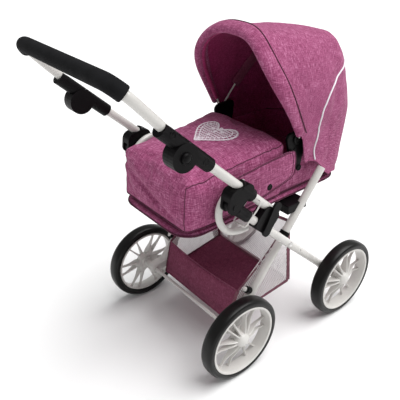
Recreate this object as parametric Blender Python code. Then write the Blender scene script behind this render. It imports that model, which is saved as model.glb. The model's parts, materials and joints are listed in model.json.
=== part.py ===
"""Doll stroller: X frame on four spoked wheels, U handle, carrycot with apron and folding hood.

Metres, +Z up, +Y towards the hood end, symmetric about X = 0. The side layout is drawn with the
wheelbase centre at y = 0 and moved once, at the end, so that the bounding box is centred.
The front legs and the handle lie along one slanted line: s is measured up that line from the
hood-side axle and t square to it, upwards.
"""
import math

import bmesh
import bpy
from mathutils import Matrix, Vector

# ---- driving dimensions -------------------------------------------------------------------
ORIGIN_Y = 0.0662
WHEEL_R = 0.0825
WHEEL_SEGMENTS = 36
TYRE_W = 0.027
TYRE_INNER_R = 0.0682
RIM_OUTER_R = 0.0679
AXLE_Y = 0.1416
REAR_WHEEL_X = 0.1530
FRONT_WHEEL_X = 0.1560
AXLE_R = 0.0035
HUB_BORE_R = 0.0038

LEG_ANGLE = math.radians(42.6)
TUBE_R = 0.0075
TUBE_WALL = 0.0012
FRONT_LEG_X = 0.1335
HANDLE_X = 0.1420
REAR_LEG_X = 0.1172
HANDLE_T = 0.0314
CROSS_S = 0.2061
REAR_LEG_ANGLE = math.radians(51.5)
REAR_LEG_DOWN = 0.176
REAR_LEG_UP = 0.152

FOLD_S = 0.4130
FOLD_T = 0.0
CATCH_S = 0.3720
CATCH_T = -0.0180
TILT_S = 0.5590
TILT_T = 0.0194
TILT_DISC_R = 0.0215
BUTTON_R = 0.0085
SLEEVE_R = 0.0113
SLEEVE_LOW_S = 0.5020
SLEEVE_TOP_S = 0.6140
BAR_S = 0.7000
BAR_RISE = 0.0798
BEND_R = 0.0340
GRIP_R = 0.0120

COT_HALF_W = 0.0915
COT_Y = (-0.203, 0.172)
COT_Z = (0.3000, 0.3820)
COT_WALL = 0.0040
APRON_HALF_W = 0.0985
APRON_Y = (-0.2130, 0.0020)
APRON_TOP_Z = (0.3870, 0.4080)
APRON_CROWN = 0.0100
APRON_FLAT = 0.45
APRON_SIDE_RISE = 0.0070
HEART_Y = -0.078
HEART_W = 0.0420
HEART_L = 0.0400
FLAP_X = (0.1010, 0.1040)

HOOD_Y = 0.031
HOOD_Z = 0.4065
HOOD_RISE = 0.0815
HOOD_POWER = 3.0
GAP = 0.0003

SIDES = (("R", 1), ("L", -1))

for old in list(bpy.data.objects):
    bpy.data.objects.remove(old, do_unlink=True)


# ---- placing ------------------------------------------------------------------------------
def leg_point(s, t, x):
    """World point at s along the front leg's line, t above it."""
    y = AXLE_Y - s * math.cos(LEG_ANGLE) + t * math.sin(LEG_ANGLE)
    z = WHEEL_R + s * math.sin(LEG_ANGLE) + t * math.cos(LEG_ANGLE)
    return Vector((x, y, z))


CROSS = leg_point(CROSS_S, 0, 0)


def rear_point(d, n, x):
    """World point d up the rear leg from the crossing, n square to it, towards the hood."""
    y = CROSS.y + d * math.cos(REAR_LEG_ANGLE) + n * math.sin(REAR_LEG_ANGLE)
    z = CROSS.z + d * math.sin(REAR_LEG_ANGLE) - n * math.cos(REAR_LEG_ANGLE)
    return Vector((x, y, z))


def hood_point(a, h, theta, tilt, power=HOOD_POWER):
    """Point of the arch of half width a and height h, leaned by tilt towards -Y."""
    c, s = math.cos(theta), math.sin(theta)
    x = a * math.copysign(abs(c) ** (2 / power), c)
    rise = h * abs(s) ** (2 / power)
    return Vector((x, HOOD_Y - math.sin(tilt) * rise, HOOD_Z + math.cos(tilt) * rise))


# ---- materials ----------------------------------------------------------------------------
def material(name, colour, rough, metal=0.0):
    mat = bpy.data.materials.new(name)
    mat.use_nodes = True
    bsdf = mat.node_tree.nodes["Principled BSDF"]
    bsdf.inputs["Base Color"].default_value = (*colour, 1)
    bsdf.inputs["Roughness"].default_value = rough
    bsdf.inputs["Metallic"].default_value = metal
    return mat


LOOKS = {
    "white_paint": ((0.86, 0.85, 0.83), 0.3, 0.0),
    "white_plastic": ((0.85, 0.84, 0.83), 0.35, 0.0),
    "black_plastic": ((0.015, 0.015, 0.017), 0.4, 0.0),
    "black_rubber": ((0.02, 0.02, 0.02), 0.6, 0.0),
    "black_foam": ((0.02, 0.02, 0.022), 0.85, 0.0),
    "steel": ((0.7, 0.7, 0.7), 0.3, 1.0),
    "mauve_fabric": ((0.42, 0.09, 0.25), 0.9, 0.0),
    "plum_fabric": ((0.17, 0.03, 0.10), 0.9, 0.0),
    "white_fabric": ((0.85, 0.82, 0.84), 0.8, 0.0),
}


# ---- building -----------------------------------------------------------------------------
def add(name, bm, look, pivot=(0, 0, 0), smooth=35):
    """Make one named node from bm, drawn in world coordinates, with its origin at pivot."""
    bmesh.ops.remove_doubles(bm, verts=bm.verts, dist=0.00001)
    bmesh.ops.recalc_face_normals(bm, faces=bm.faces)
    pivot = Vector(pivot)
    bmesh.ops.translate(bm, verts=bm.verts, vec=-pivot)
    mesh = bpy.data.meshes.new(name)
    bm.to_mesh(mesh)
    bm.free()
    ob = bpy.data.objects.new(name, mesh)
    bpy.context.scene.collection.objects.link(ob)
    ob.location = pivot
    mesh.materials.append(material(name, *LOOKS[look]))
    if smooth:
        mesh.shade_smooth()
        mesh.set_sharp_from_angle(angle=math.radians(smooth))
    return ob


def bevel(ob, width, segments=1):
    mod = ob.modifiers.new("Bevel", "BEVEL")
    mod.width = width
    mod.segments = segments
    mod.limit_method = "ANGLE"
    mod.angle_limit = math.radians(40)
    return ob


def solidify(ob, thickness, offset=-1):
    mod = ob.modifiers.new("Solidify", "SOLIDIFY")
    mod.thickness = thickness
    mod.offset = offset
    mod.use_even_offset = False
    return ob


def boolean(ob, cutter_bm, operation="DIFFERENCE"):
    """Cut cutter_bm, or join it, exactly, then keep the plain result."""
    mesh = bpy.data.meshes.new("cutter")
    bmesh.ops.recalc_face_normals(cutter_bm, faces=cutter_bm.faces)
    cutter_bm.to_mesh(mesh)
    cutter_bm.free()
    cutter = bpy.data.objects.new("cutter", mesh)
    bpy.context.scene.collection.objects.link(cutter)
    mod = ob.modifiers.new("Boolean", "BOOLEAN")
    mod.operation = operation
    mod.solver = "EXACT"
    mod.object = cutter
    bpy.context.view_layer.update()
    graph = bpy.context.evaluated_depsgraph_get()
    result = bpy.data.meshes.new_from_object(ob.evaluated_get(graph))
    ob.modifiers.clear()
    ob.data = result
    bpy.data.objects.remove(cutter, do_unlink=True)
    return ob


def ring_loft(bm, rings, caps=True):
    """Join rings of points into a closed skin; the rings run the same way round."""
    loops = [[bm.verts.new(p) for p in ring] for ring in rings]
    count = len(loops[0])
    for a, b in zip(loops, loops[1:]):
        for i in range(count):
            j = (i + 1) % count
            bm.faces.new((a[i], a[j], b[j], b[i]))
    if caps:
        bm.faces.new(list(reversed(loops[0])))
        bm.faces.new(loops[-1])
    return loops


def grid(bm, rows):
    """Open sheet through rows of points."""
    verts = [[bm.verts.new(p) for p in row] for row in rows]
    for a, b in zip(verts, verts[1:]):
        for i in range(len(a) - 1):
            bm.faces.new((a[i], a[i + 1], b[i + 1], b[i]))


def frames(points):
    """Parallel side vectors along a path."""
    points = [Vector(p) for p in points]
    last = len(points) - 1
    tangents = [(points[min(i + 1, last)] - points[max(i - 1, 0)]).normalized() for i in range(last + 1)]
    side = tangents[0].orthogonal().normalized()
    sides = []
    for tangent in tangents:
        side = (side - tangent * side.dot(tangent)).normalized()
        sides.append((side.copy(), tangent.cross(side)))
    return points, sides


def rod(bm, points, radius, inner=0.0, segments=12):
    """Round rod along a path, or a tube open at both ends when inner is given."""
    points, sides = frames(points)

    def rings(r):
        out = []
        for p, (u, v) in zip(points, sides):
            turns = [2 * math.pi * (i + 0.5) / segments for i in range(segments)]
            out.append([p + u * math.cos(k) * r + v * math.sin(k) * r for k in turns])
        return out

    outer = ring_loft(bm, rings(radius), caps=not inner)
    if inner:
        bore = ring_loft(bm, rings(inner), caps=False)
        for a, b in ((outer[0], bore[0]), (outer[-1], bore[-1])):
            for i in range(segments):
                j = (i + 1) % segments
                bm.faces.new((a[i], a[j], b[j], b[i]))
    return bm


def lathe(bm, profile, centre=(0, 0, 0), segments=WHEEL_SEGMENTS, phase=0.5):
    """Turn a closed profile of (x, r) points about the X axis through centre."""
    centre = Vector(centre)
    loops = []
    for i in range(segments):
        k = 2 * math.pi * (i + phase) / segments
        loops.append([bm.verts.new(centre + Vector((x, r * math.cos(k), r * math.sin(k))))
                      for x, r in profile])
    count = len(profile)
    for i in range(segments):
        a, b = loops[i], loops[(i + 1) % segments]
        for k in range(count):
            n = (k + 1) % count
            bm.faces.new((a[k], a[n], b[n], b[k]))
    return bm


def solid_lathe(profile, centre, segments=20):
    """Turned solid: the profile's first and last points close on the axis."""
    centre = Vector(centre)
    bm = bmesh.new()
    rings = []
    for x, r in profile:
        turns = [2 * math.pi * (i + 0.5) / segments for i in range(segments)]
        rings.append([centre + Vector((x, r * math.cos(k), r * math.sin(k))) for k in turns])
    ring_loft(bm, rings)
    return bm


def solid_rod(profile, start, towards, segments=16):
    """Turned solid of (distance, r) rings from start towards another point."""
    axis = (Vector(towards) - Vector(start)).normalized()
    side = axis.orthogonal().normalized()
    other = axis.cross(side)
    bm = bmesh.new()
    rings = []
    for d, r in profile:
        turns = [2 * math.pi * (i + 0.5) / segments for i in range(segments)]
        rings.append([start + axis * d + side * math.cos(k) * r + other * math.sin(k) * r for k in turns])
    ring_loft(bm, rings)
    return bm


def disc(bm, centre, radius, x0, x1, segments=24):
    """Cylinder along X."""
    centre = Vector(centre)
    rings = []
    for x in (x0, x1):
        turns = [2 * math.pi * (i + 0.5) / segments for i in range(segments)]
        rings.append([Vector((x, centre.y + radius * math.cos(k), centre.z + radius * math.sin(k)))
                      for k in turns])
    ring_loft(bm, rings)
    return bm


def prism(bm, outline, x0, x1):
    """Straight solid between x0 and x1 over an outline of (y, z) points."""
    ring_loft(bm, [[Vector((x, y, z)) for y, z in outline] for x in (x0, x1)])
    return bm


def hull_outline(circles, steps=8):
    """Convex outline round circles of (s, t, r), as (y, z) points."""
    cloud = []
    for s, t, r in circles:
        c = leg_point(s, t, 0)
        for i in range(4 * steps):
            k = math.pi * i / (2 * steps)
            cloud.append((c.y + r * math.cos(k), c.z + r * math.sin(k)))
    cloud = sorted(set(cloud))

    def half(pts):
        out = []
        for p in pts:
            while len(out) > 1:
                (ay, az), (by, bz) = out[-2], out[-1]
                if (by - ay) * (p[1] - az) - (bz - az) * (p[0] - ay) > 1e-12:
                    break
                out.pop()
            out.append(p)
        return out[:-1]

    return half(cloud) + half(cloud[::-1])


def box(bm, low, high):
    prism(bm, [(low[1], low[2]), (high[1], low[2]), (high[1], high[2]), (low[1], high[2])], low[0], high[0])
    return bm


def smooth_path(points, steps=6):
    """Catmull-Rom points through the given ones."""
    pts = [Vector(p) for p in points]
    pts = [2 * pts[0] - pts[1]] + pts + [2 * pts[-1] - pts[-2]]
    out = []
    for i in range(1, len(pts) - 2):
        p0, p1, p2, p3 = pts[i - 1:i + 3]
        for k in range(steps):
            u = k / steps
            out.append(0.5 * (2 * p1 + (p2 - p0) * u + (2 * p0 - 5 * p1 + 4 * p2 - p3) * u ** 2
                              + (3 * p1 - p0 - 3 * p2 + p3) * u ** 3))
    out.append(pts[-2])
    return out


def rounded_rect(half_w, y0, y1, radius, z, steps=5):
    """Ring in a level plane, corner radius given."""
    ring = []
    corners = ((half_w, y1, 0), (-half_w, y1, 1), (-half_w, y0, 2), (half_w, y0, 3))
    for cx, cy, quarter in corners:
        ox = cx - math.copysign(radius, cx)
        oy = cy - radius if cy == y1 else cy + radius
        for i in range(steps):
            k = math.pi / 2 * (quarter + i / (steps - 1))
            ring.append(Vector((ox + radius * math.cos(k), oy + radius * math.sin(k), z)))
    return ring


# ---- wheels -------------------------------------------------------------------------------
TYRE_FLAT = 1 / math.cos(math.pi / WHEEL_SEGMENTS)
HALF_TYRE = TYRE_W / 2


def tyre(name, centre):
    r = WHEEL_R * TYRE_FLAT
    profile = [(-0.0095, TYRE_INNER_R), (-0.0128, 0.0715), (-HALF_TYRE, 0.0755), (-0.0112, 0.0803), (-0.0060, r),
               (0.0060, r), (0.0112, 0.0803), (HALF_TYRE, 0.0755), (0.0128, 0.0715), (0.0095, TYRE_INNER_R)]
    return add(name, lathe(bmesh.new(), profile, centre), "black_rubber", centre)


def rim_mesh():
    """Deep white rim, dished towards -X, with a domed hub and six split spokes."""
    barrel = [(-0.0105, 0.0640), (-0.0105, RIM_OUTER_R), (0.0110, RIM_OUTER_R), (0.0122, 0.0700),
              (0.0130, 0.0690), (0.0125, 0.0652)]
    base = add("rim", lathe(bmesh.new(), barrel), "white_plastic", smooth=0)
    for n in range(6):
        for lean in (-1, 1):
            start = 2 * math.pi * n / 6 + lean * math.radians(5)
            end = 2 * math.pi * n / 6 + lean * math.radians(14)
            inner = Vector((0, 0.0085 * math.cos(start), 0.0085 * math.sin(start)))
            outer = Vector((0, 0.0658 * math.cos(end), 0.0658 * math.sin(end)))
            across = (outer - inner).cross(Vector((1, 0, 0))).normalized() * 0.0015
            bm = bmesh.new()
            near = [inner + across, inner - across, inner - across, inner + across]
            far = [outer + across, outer - across, outer - across, outer + across]
            near_x = (-0.0060, -0.0060, 0.0100, 0.0100)
            far_x = (-0.0080, -0.0080, -0.0005, -0.0005)
            ring_loft(bm, [[p + Vector((x, 0, 0)) for p, x in zip(near, near_x)],
                           [p + Vector((x, 0, 0)) for p, x in zip(far, far_x)]])
            boolean(base, bm, "UNION")
    hub = [(-0.0115, 0.0120), (-0.0075, 0.0125), (-0.0072, 0.0240), (-0.0042, 0.0240), (-0.0030, 0.0150),
           (0.0090, 0.0135), (0.0140, 0.0105), (0.0165, 0.0060), (0.0172, 0.0015)]
    boolean(base, solid_lathe(hub, (0, 0, 0)), "UNION")
    boolean(base, disc(bmesh.new(), (0, 0, 0), HUB_BORE_R, -0.02, 0.0112, 16))
    mesh = base.data
    bpy.data.objects.remove(base, do_unlink=True)
    return mesh


RIM = rim_mesh()
RIM.shade_smooth()
RIM.set_sharp_from_angle(angle=math.radians(35))


def wheel(tag, x, y, side):
    """Tyre and rim at one end of an axle; the L side's rim is turned round."""
    centre = Vector((side * x, y, WHEEL_R))
    tyre("tyre_" + tag, centre)
    mesh = RIM.copy()
    mesh.materials.clear()
    mesh.materials.append(material("rim_" + tag, *LOOKS["white_plastic"]))
    rim = bpy.data.objects.new("rim_" + tag, mesh)
    bpy.context.scene.collection.objects.link(rim)
    rim.location = centre
    if side < 0:
        rim.rotation_euler = (0, 0, math.pi)


for mark, sign in SIDES:
    wheel("rear_" + mark, REAR_WHEEL_X, -AXLE_Y, sign)
    wheel("front_" + mark, FRONT_WHEEL_X, AXLE_Y, sign)


def axle(name, y, reach):
    bm = rod(bmesh.new(), [(-reach, y, WHEEL_R), (reach, y, WHEEL_R)], AXLE_R)
    return add(name, bm, "white_paint", (0, y, WHEEL_R))


axle("rear_axle", -AXLE_Y, REAR_WHEEL_X + 0.010)
axle("front_axle", AXLE_Y, FRONT_WHEEL_X + 0.010)


# ---- legs ---------------------------------------------------------------------------------
def front_leg_x(s):
    """The leg bows outwards above the crossing to line up with the handle."""
    u = min(max((s - 0.225) / 0.070, 0), 1)
    return FRONT_LEG_X + (HANDLE_X - FRONT_LEG_X) * u * u * (3 - 2 * u)


def bolt_hole(ob, at, radius, x0, x1):
    boolean(ob, disc(bmesh.new(), at, radius, min(x0, x1), max(x0, x1), 16))


for mark, sign in SIDES:
    steps = [0.020, 0.120, 0.220] + [0.225 + 0.07 * i / 5 for i in range(1, 6)] + [0.340, 0.3985]
    path = [leg_point(s, 0, sign * front_leg_x(s)) for s in steps]
    leg = add("front_leg_" + mark, rod(bmesh.new(), path, TUBE_R, TUBE_R - TUBE_WALL, 14),
              "white_paint", CROSS)
    bm = rod(bmesh.new(), [rear_point(-REAR_LEG_DOWN, 0, sign * REAR_LEG_X),
                           rear_point(REAR_LEG_UP, 0, sign * REAR_LEG_X)], TUBE_R, TUBE_R - TUBE_WALL, 14)
    rear = add("rear_leg_" + mark, bm, "white_paint", CROSS)
    for tube in (leg, rear):
        tube.location = (0, 0, 0)
        tube.data.transform(Matrix.Translation(CROSS))
        bolt_hole(tube, CROSS, 0.0031, sign * 0.10, sign * 0.16)
        tube.data.transform(Matrix.Translation(-CROSS))
        tube.location = CROSS
        tube.data.shade_smooth()
        tube.data.set_sharp_from_angle(angle=math.radians(35))
    # Pivot bolt through both tubes, headed on the outside
    outer = FRONT_LEG_X + TUBE_R + GAP
    bm = solid_lathe([(sign * x, r) for x, r in ((0.1085, 0.0028), (outer, 0.0028), (outer, 0.0052),
                                                 (outer + 0.0014, 0.0048), (outer + 0.0022, 0.0024))], CROSS, 14)
    add("cross_bolt_" + mark, bm, "steel", CROSS)
    # Plastic axle holders on the leg ends
    axle_at = Vector((0, AXLE_Y, WHEEL_R))
    x_in, x_out = FRONT_LEG_X - 0.0095, FRONT_LEG_X + 0.0070
    bm = rod(bmesh.new(), [leg_point(0.0040, 0, sign * FRONT_LEG_X), leg_point(0.060, 0, sign * FRONT_LEG_X)],
             0.0093, segments=16)
    holder = add("axle_holder_front_" + mark, bm, "white_plastic", axle_at)
    holder.location = (0, 0, 0)
    holder.data.transform(Matrix.Translation(axle_at))
    boolean(holder, disc(bmesh.new(), axle_at, 0.0105, min(sign * x_in, sign * x_out),
                         max(sign * x_in, sign * x_out), 20), "UNION")
    boolean(holder, rod(bmesh.new(), [leg_point(0.0195, 0, sign * FRONT_LEG_X),
                                      leg_point(0.090, 0, sign * FRONT_LEG_X)], TUBE_R + GAP, segments=14))
    boolean(holder, disc(bmesh.new(), axle_at, AXLE_R + GAP, min(0, sign * 0.16), max(0, sign * 0.16), 16))
    holder.data.transform(Matrix.Translation(-axle_at))
    holder.location = axle_at
    holder.data.shade_smooth()
    holder.data.set_sharp_from_angle(angle=math.radians(35))

    axle_at = Vector((0, -AXLE_Y, WHEEL_R))
    low = rear_point(-REAR_LEG_DOWN - 0.008, 0, sign * REAR_LEG_X)
    high = rear_point(-0.1200, 0, sign * REAR_LEG_X)
    holder = add("axle_holder_rear_" + mark, rod(bmesh.new(), [low, high], 0.0100, segments=16),
                 "white_plastic")
    x_in, x_out = REAR_LEG_X - 0.0095, REAR_LEG_X + 0.0095
    centre_a = rear_point(-REAR_LEG_DOWN + 0.004, 0, 0)
    cloud = []
    for c, r in ((centre_a, 0.0085), (axle_at, 0.0100)):
        cloud.append((c.y, c.z, r))
    across = Vector((cloud[1][0] - cloud[0][0], cloud[1][1] - cloud[0][1])).normalized()
    square = Vector((-across.y, across.x))
    outline = []
    for (cy, cz, r), start in ((cloud[0], 1), (cloud[1], -1)):
        for i in range(9):
            k = math.pi * i / 8
            d = square * math.cos(k) * start + across * -math.sin(k) * start
            outline.append((cy + r * d.x, cz + r * d.y))
    boolean(holder, prism(bmesh.new(), outline, min(sign * x_in, sign * x_out), max(sign * x_in, sign * x_out)),
            "UNION")
    boolean(holder, rod(bmesh.new(), [rear_point(-REAR_LEG_DOWN - GAP, 0, sign * REAR_LEG_X),
                                      rear_point(-0.09, 0, sign * REAR_LEG_X)], TUBE_R + GAP, segments=14))
    reach = sorted((sign * REAR_LEG_X, sign * (REAR_WHEEL_X - 0.0119)))
    boolean(holder, disc(bmesh.new(), axle_at, 0.0070, *reach, 18),
            "UNION")
    boolean(holder, disc(bmesh.new(), axle_at, AXLE_R + GAP, min(0, sign * 0.16), max(0, sign * 0.16), 16))
    holder.data.shade_smooth()
    holder.data.set_sharp_from_angle(angle=math.radians(35))

# ---- handle -------------------------------------------------------------------------------
FOLD = leg_point(FOLD_S, FOLD_T, 0)
TILT = leg_point(TILT_S, TILT_T, 0)


def handle_path():
    """Centre line of the U handle from the R adjuster round to the L one."""
    def at(s, x):
        return leg_point(s, HANDLE_T + BAR_RISE * (s - TILT_S), x)

    side = [at(TILT_S + 0.0230, HANDLE_X), at(BAR_S - BEND_R, HANDLE_X)]
    for i in range(1, 7):
        k = math.pi / 2 * i / 6
        side.append(at(BAR_S - BEND_R + BEND_R * math.sin(k), HANDLE_X - BEND_R + BEND_R * math.cos(k)))
    mirrored = [Vector((-p.x, p.y, p.z)) for p in reversed(side)]
    return side + mirrored


u_path = handle_path()
add("handle_bar", rod(bmesh.new(), u_path, TUBE_R, TUBE_R - TUBE_WALL, 14), "white_paint", TILT)
grip_path = u_path[3:-3]
bm = rod(bmesh.new(), grip_path, GRIP_R, TUBE_R + GAP, 16)
add("handle_grip", bm, "black_foam", TILT)

for mark, sign in SIDES:
    x = sign * HANDLE_X
    # Lower handle tube, from the lock block up into the adjuster
    bm = rod(bmesh.new(), [leg_point(0.3040, HANDLE_T, x), leg_point(TILT_S - 0.0230, HANDLE_T, x)],
             TUBE_R, TUBE_R - TUBE_WALL, 14)
    add("handle_tube_" + mark, bm, "white_paint", FOLD)
    inner, mid, outer = sign * 0.1305, sign * 0.1420, sign * 0.1545

    def half_sleeve(name, s0, s1, own, other):
        """Sleeve half with its own disc, cleared for the other half's disc."""
        ob = add(name, rod(bmesh.new(), [leg_point(s0, HANDLE_T, x), leg_point(s1, HANDLE_T, x)], SLEEVE_R,
                           segments=18), "black_plastic")
        boolean(ob, disc(bmesh.new(), TILT, TILT_DISC_R + 0.0006, min(other), max(other), 28))
        boolean(ob, disc(bmesh.new(), TILT, TILT_DISC_R, min(own), max(own), 28), "UNION")
        return ob

    low = half_sleeve("adjuster_lower_" + mark, SLEEVE_LOW_S, TILT_S - 0.0015,
                      (inner, mid - sign * 0.00015), (mid - sign * 0.00014, sign * 0.16))
    boolean(low, rod(bmesh.new(), [leg_point(0.49, HANDLE_T, x), leg_point(TILT_S - 0.0225, HANDLE_T, x)],
                     TUBE_R + GAP, segments=14))
    top = half_sleeve("adjuster_upper_" + mark, TILT_S + 0.0015, SLEEVE_TOP_S,
                      (mid + sign * 0.00015, outer), (mid + sign * 0.00014, sign * 0.12))
    bore = [leg_point(s, HANDLE_T + BAR_RISE * (s - TILT_S), x) for s in (TILT_S + 0.0225, 0.64)]
    boolean(top, rod(bmesh.new(), bore, TUBE_R + GAP, segments=14))
    # Well for the push button, in the outer disc only
    boolean(top, disc(bmesh.new(), TILT, BUTTON_R + GAP, *sorted((sign * 0.1400, sign * 0.1700))))
    for ob in (low, top):
        ob.data.transform(Matrix.Translation(-TILT))
        ob.location = TILT
        ob.data.shade_smooth()
        ob.data.set_sharp_from_angle(angle=math.radians(35))
    bm = solid_lathe([(sign * px, r) for px, r in ((0.1455, BUTTON_R), (0.1580, BUTTON_R), (0.1590, 0.0076))],
                     TILT, 20)
    add("adjuster_button_" + mark, bm, "black_plastic", TILT)

# ---- fold hubs, lock blocks and catches ---------------------------------------------------
for mark, sign in SIDES:
    x = sign * HANDLE_X

    def span(a, b):
        return min(sign * a, sign * b), max(sign * a, sign * b)

    # Fold hub clamped on the handle tube: two cheeks round the leg's eye
    banana = hull_outline([(FOLD_S, 0, 0.0125), (0.420, 0.014, 0.0150), (0.4070, 0.0330, 0.0120)])
    bm = prism(bmesh.new(), banana,
               *span(0.1312, 0.1528))
    hub = add("fold_hub_" + mark, bm, "black_plastic")
    collar_ends = [leg_point(0.3840, HANDLE_T, x), leg_point(0.4215, HANDLE_T, x)]
    collar = rod(bmesh.new(), collar_ends, 0.0114, segments=18)
    boolean(hub, collar, "UNION")
    boolean(hub, rod(bmesh.new(), [leg_point(0.36, HANDLE_T, x), leg_point(0.46, HANDLE_T, x)], TUBE_R + GAP,
                     segments=14))
    slot = hull_outline([(FOLD_S, 0, 0.0140), (0.370, 0.0005, 0.0135), (0.380, -0.03, 0.0135),
                         (0.430, -0.03, 0.0135)])
    boolean(hub, prism(bmesh.new(), slot, *span(0.1358, 0.1482)))
    pin = [(sign * px, r) for px, r in ((0.1300, 0.0046), (0.1312, 0.0052), (0.1312, 0.0030), (0.1528, 0.0030),
                                        (0.1528, 0.0052), (0.1540, 0.0046))]
    boolean(hub, solid_lathe(pin, FOLD, 14), "UNION")
    # Leg head: collar on the leg's top end with the pivot eye
    bm = rod(bmesh.new(), [leg_point(0.3640, 0, x), leg_point(0.3985, 0, x)], 0.0104, segments=18)
    head = add("leg_head_" + mark, bm, "black_plastic")
    tongue = hull_outline([(FOLD_S, 0, 0.0098), (0.3950, 0, 0.0098)])
    boolean(head, prism(bmesh.new(), tongue, *span(0.1361, 0.1479)),
            "UNION")
    boolean(head, prism(bmesh.new(), hull_outline([(FOLD_S, 0, 0.0138)]), *span(0.1300, 0.13595)))
    boolean(head, prism(bmesh.new(), hull_outline([(FOLD_S, 0, 0.0138)]), *span(0.14805, 0.1540)))
    boolean(head, rod(bmesh.new(), [leg_point(0.35, 0, x), leg_point(0.3988, 0, x)], TUBE_R + GAP, segments=14))
    boolean(head, disc(bmesh.new(), FOLD, 0.0033, *span(0.12, 0.16), 16))
    # Lock block on the leg: bore for the leg, open saddle for the handle tube, cover plate outside
    bm = prism(bmesh.new(), hull_outline([(0.310, 0.0000, 0.0105), (0.332, 0.0000, 0.0105), (0.310, 0.0240, 0.0105),
                                          (0.332, 0.0240, 0.0105)]), *span(0.1325, 0.1515))
    block = add("lock_block_" + mark, bm, "black_plastic")
    plate = hull_outline([(0.3225, 0.0400, 0.0085), (0.3110, -0.0050, 0.0085)])
    boolean(block, prism(bmesh.new(), plate, *span(0.1510, 0.1555)), "UNION")
    saddle = hull_outline([(0.28, HANDLE_T, TUBE_R + GAP), (0.36, HANDLE_T, TUBE_R + GAP), (0.28, 0.07, 0.01),
                           (0.36, 0.07, 0.01)])
    boolean(block, prism(bmesh.new(), saddle, *span(0.1300, 0.1505)))
    boolean(block, rod(bmesh.new(), [leg_point(0.29, 0, x), leg_point(0.35, 0, x)], TUBE_R + GAP, segments=14))
    for ob, at in ((hub, FOLD), (head, CROSS), (block, CROSS)):
        ob.data.transform(Matrix.Translation(-at))
        ob.location = at
        ob.data.shade_smooth()
        ob.data.set_sharp_from_angle(angle=math.radians(35))
    # Wire catch pivoted under the leg head, its ends beside the handle tube
    x_in, x_out = HANDLE_X - 0.0125, HANDLE_X + 0.0150
    corners = [(0.3730, HANDLE_T, x_in + 0.0040), (0.3730, HANDLE_T, x_in), (0.3690, 0.0180, x_in),
               (CATCH_S, CATCH_T, x_in), (CATCH_S, CATCH_T, x_out), (0.3690, 0.0180, x_out),
               (0.3730, HANDLE_T, x_out), (0.3730, HANDLE_T, x_out - 0.0062)]
    pts = [leg_point(s, t, sign * px) for s, t, px in corners]
    path = [pts[0]]
    for a, b, c in zip(pts, pts[1:], pts[2:]):
        cut = min(0.0030, (b - a).length / 2.2, (c - b).length / 2.2)
        path.append(b + (a - b).normalized() * cut)
        path.append(b + ((a - b).normalized() + (c - b).normalized()) * cut * 0.28)
        path.append(b + (c - b).normalized() * cut)
    path.append(pts[-1])
    add("catch_wire_" + mark, rod(bmesh.new(), path, 0.0013, segments=8), "white_paint",
        leg_point(CATCH_S, CATCH_T, 0))

# ---- C springs and cot brackets -----------------------------------------------------------
C_LINE = [(0.3930, 0.0440), (0.4075, 0.0280), (0.4140, 0.0070), (0.4110, -0.0130), (0.3980, -0.0280),
          (0.3800, -0.0360), (0.3600, -0.0365), (0.3400, -0.0280), (0.3230, -0.0140)]
for mark, sign in SIDES:
    path = smooth_path([leg_point(s, t, sign * 0.1240) for s, t in C_LINE], 2)
    add("c_spring_" + mark, rod(bmesh.new(), path, 0.0060, segments=10), "white_paint", CROSS)
    # Black cradle under the cot, clamped on the rear leg
    arm = add("cot_bracket_" + mark, box(bmesh.new(), (min(sign * 0.088, sign * 0.1290), 0.000, 0.2700),
                                         (max(sign * 0.088, sign * 0.1290), 0.050, 0.2870)), "black_plastic")
    leg_line = [rear_point(-0.02, 0, sign * REAR_LEG_X), rear_point(0.14, 0, sign * REAR_LEG_X)]
    boolean(arm, rod(bmesh.new(), leg_line,
                     TUBE_R + GAP, segments=14))
    boolean(arm, box(bmesh.new(), (min(sign * 0.1195, sign * 0.14), -0.01, 0.26),
                     (max(sign * 0.1195, sign * 0.14), 0.06, 0.30)))
    bevel(arm, 0.0015)

# ---- basket -------------------------------------------------------------------------------
# Side outline of the sling: handle-end top, round the belly, to the hood-end top
BASKET = [(-0.105, 0.139), (-0.122, 0.078), (-0.070, 0.067), (-0.020, 0.066), (0.036, 0.096), (0.020, 0.245)]
BASKET_HALF_W = 0.1060
SKIN = 0.0016


def inset(outline, depths):
    """Move each edge of an anticlockwise (y, z) outline inwards by its own depth."""
    lines = []
    for i, depth in enumerate(depths):
        a, b = Vector(outline[i]), Vector(outline[(i + 1) % len(outline)])
        along = (b - a).normalized()
        lines.append((a + Vector((-along.y, along.x)) * depth, along))
    out = []
    for i, (p, u) in enumerate(lines):
        q, v = lines[i - 1]
        k = ((q.x - p.x) * v.y - (q.y - p.y) * v.x) / (u.x * v.y - u.y * v.x)
        out.append(tuple(p + u * k))
    return out


basket = add("basket", prism(bmesh.new(), BASKET, -BASKET_HALF_W, BASKET_HALF_W), "plum_fabric")
hollow = inset(BASKET, [SKIN] * 5 + [-0.01])
boolean(basket, prism(bmesh.new(), hollow, SKIN - BASKET_HALF_W, BASKET_HALF_W - SKIN))
for mark, sign in SIDES:
    # Screwed clip that holds the basket's corner on the leg
    bm = solid_rod([(TUBE_R + GAP, 0.0068), (0.0200, 0.0068), (0.0205, 0.0052), (0.0235, 0.0050)],
                   rear_point(-0.1120, 0, sign * REAR_LEG_X), rear_point(-0.1120, -1, sign * REAR_LEG_X))
    add("basket_clip_" + mark, bm, "black_plastic")

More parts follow.
